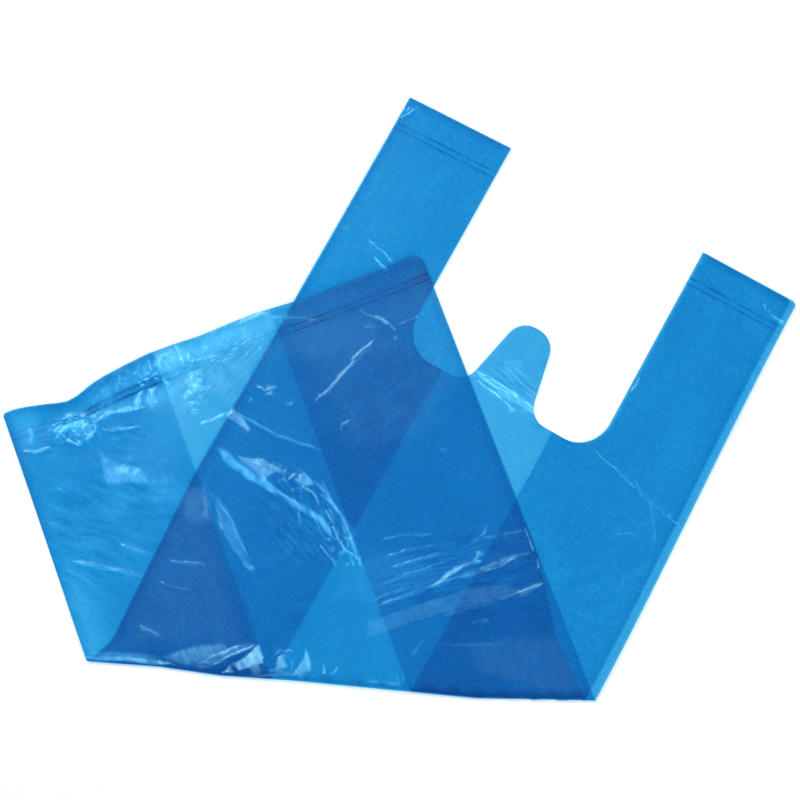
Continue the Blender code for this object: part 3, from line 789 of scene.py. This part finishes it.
def add_crease(marks, x, y, crease):
    """Adds one crease to the four numbers of each place."""
    route, width, white, cyan, darkening, rise = crease
    points = to_frame(route)
    half = width * PIXEL * CREASE_SHARE
    foot = max(rise * 0.001 / CREASE_STEEPNESS, half)
    some = near(x, y, points, foot + 0.003)
    if len(some):
        share = smooth(crease_share(x[some], y[some], points, half) * 1.3)
        uneven = 0.75 + 0.5 * noise(x[some], y[some], 0.004, 41)
        # white and cyan are painted highlights along the crease; the third value darkens the film along it
        for number, strength in enumerate((white, cyan, darkening)):
            marks[number][some] += strength * share * np.clip(uneven, 0, 1.3)
        height = 0.001 * rise * crease_share(x[some], y[some], points, foot)
        marks[3][some] = np.maximum(marks[3][some], height)


def add_facet(marks, x, y, facet):
    """Adds one flat facet, which tilts up from its edges to its middle."""
    outline, soft, white, cyan, darkening, slope = facet
    points = to_frame(outline)
    soft = soft * PIXEL
    some = near(x, y, points, 2 * soft)
    if len(some):
        gaps = outline_gap(np.stack([x[some], y[some]], axis=1), points)[0]
        share = smooth(0.5 - gaps / (2 * soft))
        # painted white and cyan highlight over the facet, in uneven streaks, and its darkening
        streaks = 0.8 + 0.4 * noise(x[some] * 1.5 + y[some], y[some] * 0.4 - x[some] * 0.4, 0.0022, 43)
        for number, strength in enumerate((white, cyan, darkening)):
            marks[number][some] += strength * share * streaks
        marks[3][some] += np.clip(-gaps, 0, 0.005) * slope


def add_crumple(marks, x, y, patch, seed):
    """Adds an oval patch of crumpled film."""
    middle, along, across, angle, height, size, white, cyan = patch
    far = oval_distance(x, y, middle, (along, across), angle)
    some = np.flatnonzero(far < 1)
    if len(some):
        share = smooth(1.4 * (1 - far[some]))
        ridges = crumple(x[some], y[some], size, seed)
        # painted white and cyan highlights on the crests of the crumpled film
        crest = smooth((ridges - 0.72) / 0.25)
        marks[0][some] += white * share * crest
        marks[1][some] += cyan * share * crest
        marks[3][some] += 0.001 * height * share * ridges


def marks_at(x, y, creases, facets, patches):
    """Painted white and cyan highlight, darkening and rise at each place."""
    marks = [np.zeros_like(x) for number in range(4)]
    bent_x, bent_y = wandering(x, y)
    for facet in facets:
        add_facet(marks, bent_x, bent_y, facet)
    for crease in creases:
        add_crease(marks, bent_x, bent_y, crease)
    for number, patch in enumerate(patches):
        add_crumple(marks, x, y, patch, 100 + 10 * number)
    return marks


# %% Where the film needs finer cells
def detail_at(x, y, creases, facets, patches, reach):
    """Whether each place is within reach of a crease, a crisp facet's edge or a crumpled patch."""
    found = np.zeros(len(x), bool)
    for route, width, *strengths in creases:
        points = to_frame(route)
        far = width * PIXEL * CREASE_SHARE + reach
        some = near(x, y, points, far)
        found[some] |= outline_distance(x[some], y[some], points) < far
    for outline, soft, *strengths in facets:
        points = to_frame(outline)
        some = near(x, y, points, reach)
        if len(some) and soft < 3.5:
            gaps = outline_gap(np.stack([x[some], y[some]], axis=1), points)[0]
            found[some] |= np.abs(gaps) < reach + soft * PIXEL
    for middle, along, across, angle, *rest in patches:
        found |= oval_distance(x, y, middle, (0.8 * along, 0.8 * across), angle) < 1
    return found


# %% [markdown]
# ## Fine wrinkles
#
# Film that is pulled at one place wrinkles along the pull, in lines too many to list. Each
# region below has a direction and a pitch. A vertex gets its place along and across the
# wrinkles, and how strong they are. The material later draws a noise in those coordinates.

# %% Regions of fine wrinkles
FLAP_WRINKLES = [
    # middle, reach along and across, slope in degrees, length and pitch in metres, strength
    ((455, 575), 115, 62, 17, 0.020, 0.0019, 0.75),
    ((385, 395), 110, 80, 52, 0.016, 0.0024, 0.40),
    ((300, 515), 85, 55, -42, 0.012, 0.0020, 0.60),
    ((115, 530), 120, 90, -12, 0.026, 0.0042, 0.42),
    ((290, 640), 170, 40, 34, 0.016, 0.0026, 0.34),
    ((110, 388), 120, 22, 78, 0.008, 0.0018, 0.62),
    ((225, 365), 75, 60, 62, 0.012, 0.0024, 0.42),
    ((90, 440), 80, 30, 8, 0.010, 0.0022, 0.50),
    ((170, 600), 90, 70, -60, 0.030, 0.0050, 0.26),
]
BAG_WRINKLES = [
    ((600, 560), 200, 120, 20, 0.030, 0.0060, 0.09),
    ((515, 390), 50, 26, -33, 0.018, 0.0016, 0.50),
    ((400, 180), 120, 90, 62, 0.030, 0.0070, 0.12),
    ((730, 340), 120, 80, -62, 0.030, 0.0070, 0.10),
]


def wrinkles_at(x, y, regions):
    """Place along and across the wrinkles and their strength, from the strongest region."""
    best, second = np.zeros_like(x), np.zeros_like(x)
    along, across = np.zeros_like(x), np.zeros_like(x)
    for number, (middle, long, wide, angle, length, pitch, strength) in enumerate(regions):
        share = strength * smooth(1.6 * (1 - oval_distance(x, y, middle, (long, wide), angle)))
        wins = share > best
        second = np.where(wins, best, np.maximum(second, share))
        best = np.where(wins, share, best)
        turn = radians(angle)
        along = np.where(wins, (x * cos(turn) + y * sin(turn)) / length + 9 * number, along)
        across = np.where(wins, (y * cos(turn) - x * sin(turn)) / pitch, across)
    bent = 1.3 * noise(x, y, 0.022, 56)
    return np.stack([along, across + bent, best - second], axis=1)


print("regions of wrinkles:", len(FLAP_WRINKLES) + len(BAG_WRINKLES))

# %% [markdown]
# ## Pulled to shape
#
# The bag was not folded like paper: its film slid and stretched by a few millimetres, the folded
# edge bows, the bottom edge draws in where it is crumpled, and the back layers lie a little
# inside the front ones. So the folded sheet is pulled a little, until its edges lie where the
# photograph shows them.

# %% Where the edges lie in the photograph
FOLD_EDGE = [(87, 660.5), (158, 665.7), (219, 674.6), (293, 679.7), (400, 690), (479, 697.6), (530, 699.4),
             (595, 701)]
HANDLE_ENDS = [(410, 97), (511, 148), (705, 253), (797, 303)]
FLAP_CORNERS = [(2, 413), (420, 252)]
BOTTOM_EDGE = [(15, 409), (28, 406.5), (48.5, 403.7), (63.8, 402.4), (72.7, 398.6), (81.6, 392.2),
               (89.3, 385.2), (102, 377), (121, 366.7), (146.7, 354), (172, 344.4), (200, 335.5),
               (250, 315), (291, 303), (301.7, 299), (341, 283.8), (386, 267), (408, 257)]

corner_right = from_fold(HALF_WIDTH, BAG_LENGTH)
corner_left = from_fold(-HALF_WIDTH, BAG_LENGTH)
box_high = Vector(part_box("carrier_bag")[1])
FOLD_START = np.array((box_high.x - corner_right[0], box_high.y - corner_left[1] + HALF_ARC))
FOLD_LENGTH = BAG_WIDTH / cos(FOLD_SLOPE)


def pulls(pixels, u, v):
    """How far the places of the photograph lie from where a perfect fold has them."""
    along, away = from_fold(np.asarray(u, float), np.asarray(v, float))
    return to_frame(pixels) - np.stack([along, np.abs(away) - HALF_ARC], axis=-1) - FOLD_START


fold_at = to_frame(FOLD_EDGE)
fold_along = np.clip(fold_at[:, 0] - FOLD_START[0], 0, FOLD_LENGTH)
fold_pull = fold_at - FOLD_START - np.stack([fold_along, np.full(len(fold_along), -FOLD_RADIUS)], axis=1)
fold_pull[1:-1, 0] = 0
handle_u = np.array((-HALF_WIDTH, HANDLE_WIDTH - HALF_WIDTH, HALF_WIDTH - HANDLE_WIDTH, HALF_WIDTH))
handle_pull = pulls(HANDLE_ENDS, handle_u, np.full(4, BAG_LENGTH))
flap_pull = pulls(FLAP_CORNERS, np.array((-HALF_WIDTH, HALF_WIDTH)), np.zeros(2))
all_pulls = np.vstack([fold_pull, handle_pull, flap_pull])
print("largest pull:", round(float(np.abs(all_pulls).max()) * 1000, 1), "mm")


# %% The bottom edge's own shape
def bottom_shape():
    """How far the bottom edge bulges past a straight line between the flap's corners."""
    start, end = to_frame(FLAP_CORNERS)
    run = end - start
    normal = np.array((-run[1], run[0])) / np.hypot(*run)
    places = to_frame(BOTTOM_EDGE)
    share = (places - start) @ run / (run @ run)
    return share * BAG_WIDTH - HALF_WIDTH, (places - start) @ normal, normal


bottom_u, bottom_bulge, bottom_normal = bottom_shape()
print("the bottom edge bulges by", bottom_bulge.min().round(4), "to", bottom_bulge.max().round(4), "m")


# %% Pulls within the table's plane
def between(numbers, stops, values):
    """Pairs of values, read off between their stops."""
    return np.stack([np.interp(numbers, stops, values[:, axis]) for axis in (0, 1)], axis=-1)


def pull(u, v):
    """How far the folded film is moved so that its edges lie right."""
    fold_height = FOLD_LEFT_HEIGHT + (u + HALF_WIDTH) * tan(FOLD_SLOPE)
    at_fold = between((u + HALF_WIDTH) / cos(FOLD_SLOPE), fold_along, fold_pull)
    at_handles = between(u, handle_u, handle_pull)
    at_bottom = between(u, (-HALF_WIDTH, HALF_WIDTH), flap_pull)
    above = smooth((v - fold_height) / (BAG_LENGTH - fold_height))[:, None]
    below = smooth((fold_height - v) / fold_height)[:, None]
    moved = np.where((v > fold_height)[:, None],
                     at_fold * (1 - above) + at_handles * above,
                     at_fold * (1 - below) + at_bottom * below)
    bulge = np.interp(u, bottom_u, bottom_bulge) * np.clip(1 - v / BOTTOM_FADE, 0, 1) ** 1.5
    return moved + bulge[:, None] * bottom_normal


def inset(u, v, w):
    """How far film lies inside the bag's sides: above the fold on the left, and the back on the right."""
    left = np.interp(from_fold(u, v)[1], LEFT_INSETS[0], LEFT_INSETS[1])
    right = np.interp(v, RIGHT_INSETS[0], RIGHT_INSETS[1])
    share = np.clip((np.abs(u) - INNER_FOLD) / GUSSET_DEPTH, 0, 1)
    return share * np.where(u < 0, left, np.where(w < 0, -right, 0))


# %% [markdown]
# ## Folding
#
# Each flat place is sent to its place in the folded bag: below the fold it stays level, through
# the fold it follows a half circle, and past it the layers lie in reverse order. The weld
# squeezes its layers together. The creases lift the top sheet most and the lowest not at all, so
# no layer passes through another.


# %% Lay the film down
def squeezed(v, w):
    """The layers' heights, drawn together at the welds."""
    gap = np.min([np.abs(v - weld) for weld in WELDS], axis=0)
    return w * (1 - 0.85 * smooth(1 - (gap - WELD_SPACING / 2) / WELD_REACH))


def lay_down(flat, raised=True):
    """The folded place of each flat place, raised at its creases, and its marks."""
    u, v, w = flat.T
    depth = np.clip((w / LAYER_PITCH + 1.5) / 3, 0, 1)
    along, away = from_fold(u + inset(u, v, w), v)
    w = squeezed(v, w)
    turn = np.clip(away / FOLD_RADIUS, -pi / 2, pi / 2)
    over = away < 0
    moved = pull(u, v)
    y = np.where(np.abs(away) > HALF_ARC, np.abs(away) - HALF_ARC, -(FOLD_RADIUS - w) * np.cos(turn))
    x, y = along + FOLD_START[0] + moved[:, 0], y + FOLD_START[1] + moved[:, 1]
    z = FOLD_RADIUS - (FOLD_RADIUS - w) * np.sin(turn)
    past = y - FOLD_START[1]
    outside = past * sin(FOLD_SLOPE) - (x - FOLD_START[0]) * cos(FOLD_SLOPE)
    beyond = (outside - DRAPE_START) / DRAPE_REACH
    z = z - np.where(over, 2 * FOLD_RADIUS * smooth(beyond), 0)
    white, cyan, darkening, rise = np.zeros((4, len(x)))
    sides = [(over, FLAP_CREASES, FLAP_FACETS, CRUMPLED), (~over, BAG_CREASES, BAG_FACETS, [])]
    for side, creases, facets, patches in sides if raised else []:
        marks = marks_at(x[side], y[side], creases, facets, patches)
        white[side], cyan[side], darkening[side], rise[side] = marks
    waves = sum(height * noise(x, y, length, seed) for height, length, seed in WAVES)
    rise = np.clip(rise + waves + LEAST_RISE, 0, MOST_RISE)
    under_u, under_v = flat_place(along, np.abs(away) - HALF_ARC)
    uncovered = smooth(np.maximum(np.abs(under_u) - HALF_WIDTH, -under_v) / UNCOVERED_REACH)
    past_fold = smooth(past / NEAR_FOLD_REACH)
    share = np.where(over, (1 - depth) * past_fold, depth * uncovered)
    z = z + rise * share + STACK / 2 + LOW_CLEARANCE
    return np.stack([x, y, z], axis=1), np.stack([white, cyan, darkening])


def wants_detail(flat, reach, patches):
    """Whether each vertex is on top and near a crease."""
    u, v, w = flat.T
    x, y = lay_down(flat, raised=False)[0].T[:2]
    over = from_fold(u, v)[1] < 0
    found = np.where(over, detail_at(x, y, FLAP_CREASES, FLAP_FACETS, patches, reach),
                     detail_at(x, y, BAG_CREASES, BAG_FACETS, [], reach))
    return found & on_top(u, v, w)


subdivide(film, wants_detail(flat_places(film), 0.0030, CRUMPLED), 2)
subdivide(film, wants_detail(flat_places(film), 0.0005, []), 1)
flat = flat_places(film)
placed, marks = lay_down(flat)
print("vertices:", len(placed))

# %% [markdown]
# ## How much film light crosses
#
# A tinted sheet takes the same share of the light for each thickness of film, so thickness is
# the power that the tint is raised to. Blown film is a little cloudy, which shows as soft bands
# along the tube. The pressed weld lines and the hot-cut edges are thicker, and the film is also
# counted thicker, and so drawn darker, along the lines listed with the creases and facets.


# %% Thickness at each vertex
EDGE_THICKNESS = 0.4         # how many thicknesses each of these adds
DARKENING_THICKNESS = 2.2
SIDE_FOLD_THICKNESS = 0.8
FOLD_THICKNESS = 0.9
SIDE_FOLD_REACH = 0.0012
HIDDEN_WRINKLES = 0.35       # how strong the wrinkles of hidden layers are
LAYER_SHIFT = 3.7            # moves each layer's wrinkles away from those of the next


def edge_share(mesh, places):
    """1 on the film's free edges, and 0 elsewhere."""
    share = np.zeros(len(places))
    for edge in mesh.edges:
        if edge.is_boundary:
            share[edge.verts[0].index] = share[edge.verts[1].index] = 1
    return share


def weld_share(u, v):
    """1 on the pressed lines of the welds, and 0 beside them."""
    gaps = [np.abs(v - weld - line) for weld in WELDS for line in (-WELD_SPACING / 2, WELD_SPACING / 2)]
    broken = np.clip(0.75 + 0.9 * noise(u, v * 0.2, 0.004, 73), 0.25, 1)
    faint = 0.8 * smooth(1.8 - np.abs(u - WELD_FAINT[0]) / WELD_FAINT[1])
    faint = np.maximum(faint, 0.75 * smooth((WELD_START - u) / 0.03))
    depth = np.where(v < BAG_LENGTH / 2, 2.5 * (1 - faint), 0.9)
    return depth * broken * np.clip(1 - np.min(gaps, axis=0) / (WELD_LINE / 2), 0, 1)


u, v, w = flat.T
top = on_top(u, v, w).astype(float)
cloud = 0.06 * noise(u + 8 * w, v * 0.25, 0.006, 71) + 0.05 * noise(u, v + 30 * w, 0.040, 72)
stretch = np.interp(v, LEFT_STRETCH[0], LEFT_STRETCH[1], right=0)
stretch *= smooth(1 - (u + HALF_WIDTH) / STRETCH_WIDTH)
thickness = 1 + cloud - stretch + weld_share(u, v)
# the film counts as thicker, and so is drawn darker, along the lines listed with a darkening
thickness += EDGE_THICKNESS * edge_share(film, placed) + DARKENING_THICKNESS * marks[2] * top
thickness += SIDE_FOLD_THICKNESS * np.clip((np.abs(u) - HALF_WIDTH) / SIDE_FOLD_REACH + 1, 0, 1)
thickness += FOLD_THICKNESS * smooth(1.6 - np.abs(from_fold(u, v)[1]) / HALF_ARC)
print("thickness from", thickness.min().round(2), "to", thickness.max().round(2))

# %% Wrinkles, faint scatter and painted highlights at each vertex
wrinkles = np.where((from_fold(u, v)[1] < 0)[:, None], wrinkles_at(*placed.T[:2], FLAP_WRINKLES),
                    wrinkles_at(*placed.T[:2], BAG_WRINKLES))
wrinkles[:, 2] *= np.where(top > 0, 1, HIDDEN_WRINKLES)
wrinkles[:, :2] += LAYER_SHIFT * w[:, None] / LAYER_PITCH
# the film's faint scatter, plus the creases' painted highlights on the sheet on top
light = np.stack([
    BASE_LIGHT[channel] + top * (marks[0] * PAINTED_WHITE_GLINT[channel] + marks[1] * PAINTED_CYAN_SHEEN[channel])
    for channel in range(3)], axis=1)
print("most light scattered:", light.max(0).round(2))

# %% [markdown]
# ## The finished film
#
# The places go into the mesh, and three attributes go with it, one value for each vertex: how
# thick the film is, how its wrinkles run and how strong they are, and the light in its colour:
# a faint scatter and the creases' painted highlights.
# The film is a sheet held folded: its flat size is once round the tube by the bag's length, and
# its area is what the cut mouth leaves of that.

# %% Finished film
for vert, place in zip(film.verts, placed):
    vert.co = place
film.normal_update()
film.to_mesh(film_mesh)
film.free()
film_mesh.shade_smooth()
bag = bpy.data.objects.new("carrier_bag_film", film_mesh)
bpy.context.scene.collection.objects.link(bag)
colours = np.concatenate([np.clip(light, 0, MOST_LIGHT), np.ones((len(light), 1))], axis=1)
for name, kind, field, values in (("thickness", "FLOAT", "value", thickness),
                                  ("wrinkle", "FLOAT_VECTOR", "vector", wrinkles),
                                  ("light", "FLOAT_COLOR", "color", colours)):
    attribute = film_mesh.attributes.new(name, kind, "POINT")
    attribute.data.foreach_set(field, values.astype(np.float32).ravel())
print("triangles:", sum(len(face.vertices) - 2 for face in film_mesh.polygons))
print("box of the film:", placed.min(0).round(4), placed.max(0).round(4))

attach(bag, "root")
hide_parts("carrier_bag")

# %% [markdown]
# ## Film
#
# Clear film is a sum of two shaders: a Transparent one, whose colour is what one thickness lets
# through, and a Principled one for the gloss and for the light in the film's colour, a faint
# scatter and the painted highlights of the creases.
# Added together they keep both, where a mix would weaken each.

# %% Film material
film_material = bpy.data.materials.new("blue_film")
film_material.use_nodes = True
tree = film_material.node_tree
tree.nodes.clear()
output = tree.nodes.new("ShaderNodeOutputMaterial")
both = tree.nodes.new("ShaderNodeAddShader")
clear = tree.nodes.new("ShaderNodeBsdfTransparent")
surface = tree.nodes.new("ShaderNodeBsdfPrincipled")
power = tree.nodes.new("ShaderNodeGamma")
amount = tree.nodes.new("ShaderNodeAttribute")
amount.attribute_name = "thickness"
# reads the film's faint scatter and the creases' painted highlights, used as its base colour
scattered = tree.nodes.new("ShaderNodeAttribute")
scattered.attribute_name = "light"
power.inputs["Color"].default_value = (*FILM_TINT, 1.0)
surface.inputs["Roughness"].default_value = 0.26
surface.inputs["Specular IOR Level"].default_value = 0.32
surface.inputs["Specular Tint"].default_value = (0.45, 0.90, 1.0, 1.0)
tree.links.new(power.outputs["Color"], clear.inputs["Color"])
tree.links.new(scattered.outputs["Color"], surface.inputs["Base Color"])
tree.links.new(clear.outputs[0], both.inputs[0])
tree.links.new(surface.outputs[0], both.inputs[1])
tree.links.new(both.outputs[0], output.inputs["Surface"])
film_mesh.materials.append(film_material)

# %% [markdown]
# ## Wrinkles and grain
#
# Two noises change how much film the light crosses, and so only how dark the film is. One is
# drawn in the wrinkles' own coordinates and makes long thin lines. The other is a fine grain in
# the object's coordinates, for the slight clouding of thin film.

# %% Wrinkles and grain of the film
place = tree.nodes.new("ShaderNodeTexCoord")
wrinkle = tree.nodes.new("ShaderNodeAttribute")
wrinkle.attribute_name = "wrinkle"
parts = tree.nodes.new("ShaderNodeSeparateXYZ")
lines = tree.nodes.new("ShaderNodeTexNoise")
lines.noise_dimensions = "2D"
lines.inputs["Scale"].default_value = 1.0
lines.inputs["Detail"].default_value = 3.0
lines.inputs["Roughness"].default_value = 0.6
grain = tree.nodes.new("ShaderNodeTexNoise")
grain.inputs["Scale"].default_value = 520.0
grain.inputs["Detail"].default_value = 1.0
tree.links.new(place.outputs["Object"], grain.inputs["Vector"])
tree.links.new(wrinkle.outputs["Vector"], lines.inputs["Vector"])
tree.links.new(wrinkle.outputs["Vector"], parts.inputs[0])


def wave(source, strength, old):
    """Adds strength times a noise, centred on zero, to an old value."""
    times = tree.nodes.new("ShaderNodeMath")
    times.operation = "MULTIPLY_ADD"
    centred = tree.nodes.new("ShaderNodeMath")
    centred.operation = "SUBTRACT"
    centred.inputs[1].default_value = 0.5
    tree.links.new(source, centred.inputs[0])
    tree.links.new(centred.outputs[0], times.inputs[0])
    if isinstance(strength, float):
        times.inputs[1].default_value = strength
    else:
        tree.links.new(strength, times.inputs[1])
    tree.links.new(old, times.inputs[2])
    return times.outputs[0]


lines_times = tree.nodes.new("ShaderNodeMath")
lines_times.operation = "MULTIPLY"
lines_times.inputs[1].default_value = 9.0
tree.links.new(parts.outputs["Z"], lines_times.inputs[0])
wavy = wave(lines.outputs["Fac"], lines_times.outputs[0], amount.outputs["Fac"])
grainy = wave(grain.outputs["Fac"], 0.75, wavy)
tree.links.new(grainy, power.inputs["Gamma"])
print("nodes in the film's material:", len(tree.nodes))

# %% [markdown]
# ## Floor
#
# The floor is white where the camera sees it bare. Where it is seen through the film, and in the
# light that it bounces, it is a light blue. The tint of the film alone comes out too pale and too
# green on white, and the blue floor makes up for that, so this belongs to the stage and not to
# the bag. Far from the bag the floor fades into white light, so that hardly any horizon shows
# from low down.

# %% Floor
FLOOR_SIZE = 6.0
FLOOR_UNDER_FILM = (0.345, 0.585, 0.92)
bpy.ops.mesh.primitive_plane_add(size=FLOOR_SIZE)
floor = bpy.context.object
floor.name = "floor"
floor_material = bpy.data.materials.new("floor_white")
floor_material.use_nodes = True
tree = floor_material.node_tree
tree.nodes.clear()
output = tree.nodes.new("ShaderNodeOutputMaterial")
matt = tree.nodes.new("ShaderNodeBsdfDiffuse")
path = tree.nodes.new("ShaderNodeLightPath")
bare = tree.nodes.new("ShaderNodeMath")
bare.operation = "LESS_THAN"
bare.inputs[1].default_value = 0.5
seen = tree.nodes.new("ShaderNodeMath")
seen.operation = "MULTIPLY"
blend = tree.nodes.new("ShaderNodeMix")
blend.data_type = "RGBA"
blend.inputs["A"].default_value = (*FLOOR_UNDER_FILM, 1.0)
blend.inputs["B"].default_value = (1.0, 1.0, 1.0, 1.0)
tree.links.new(path.outputs["Transparent Depth"], bare.inputs[0])
tree.links.new(bare.outputs[0], seen.inputs[0])
tree.links.new(path.outputs["Is Camera Ray"], seen.inputs[1])
tree.links.new(seen.outputs[0], blend.inputs["Factor"])
tree.links.new(blend.outputs["Result"], matt.inputs["Color"])
floor.data.materials.append(floor_material)
print("floor:", FLOOR_SIZE, "m across")

# %% White far from the bag, seen from low down
FADE_FROM = 0.6
FADE_TO = 1.6
NEAR_GLOW = 0.25             # softens the bag's shadow where the floor is bare
glow = tree.nodes.new("ShaderNodeEmission")
cover = tree.nodes.new("ShaderNodeMixShader")
centred = tree.nodes.new("ShaderNodeTexCoord")
reach = tree.nodes.new("ShaderNodeVectorMath")
reach.operation = "LENGTH"
far = tree.nodes.new("ShaderNodeMapRange")
far.inputs["From Min"].default_value = FADE_FROM
far.inputs["From Max"].default_value = FADE_TO
far.inputs["To Min"].default_value = NEAR_GLOW
far_seen = tree.nodes.new("ShaderNodeMath")
far_seen.operation = "MULTIPLY"
tree.links.new(centred.outputs["Object"], reach.inputs[0])
tree.links.new(reach.outputs["Value"], far.inputs["Value"])
tree.links.new(far.outputs["Result"], far_seen.inputs[0])
tree.links.new(seen.outputs[0], far_seen.inputs[1])
tree.links.new(far_seen.outputs[0], cover.inputs["Fac"])
tree.links.new(matt.outputs[0], cover.inputs[1])
tree.links.new(glow.outputs[0], cover.inputs[2])
tree.links.new(cover.outputs[0], output.inputs["Surface"])
print("nodes in the floor's material:", len(tree.nodes))

# %% [markdown]
# ## Light
#
# Two large soft lamps stand to the left and right, as in a small photo studio. The left one is
# the stronger and gives the creases their flashes. The world is dim, and white only where the
# camera sees it. Light has to pass up to eight layers on its way down and as many on its way up,
# so the limit on transparent bounces is raised well past that.

# %% Light
world = bpy.data.worlds.new("studio")
bpy.context.scene.world = world
world.use_nodes = True
background = world.node_tree.nodes["Background"]
background.inputs["Color"].default_value = (1, 1, 1, 1)
sight = world.node_tree.nodes.new("ShaderNodeLightPath")
strength = world.node_tree.nodes.new("ShaderNodeMapRange")
strength.inputs["To Min"].default_value = 0.06
strength.inputs["To Max"].default_value = 1.0
world.node_tree.links.new(sight.outputs["Is Camera Ray"], strength.inputs["Value"])
world.node_tree.links.new(strength.outputs["Result"], background.inputs["Strength"])


def softbox(name, place, size, power):
    """A square lamp that faces the bag."""
    lamp = bpy.data.lights.new(name, "AREA")
    lamp.size = size
    lamp.energy = power
    obj = bpy.data.objects.new(name, lamp)
    obj.location = place
    obj.rotation_euler = (-Vector(place)).to_track_quat("-Z", "Y").to_euler()
    bpy.context.scene.collection.objects.link(obj)
    print(name, "has", power, "W")


softbox("softbox_left", (-1.2, 1.2, 2.2), 1.0, 66)
softbox("softbox_right", (1.6, -1.0, 1.8), 1.2, 34)
cycles = bpy.context.scene.cycles
cycles.transparent_max_bounces = 32
cycles.max_bounces = 4
cycles.diffuse_bounces = 2
cycles.glossy_bounces = 1
cycles.transmission_bounces = 0
bpy.context.scene.view_settings.view_transform = "Standard"
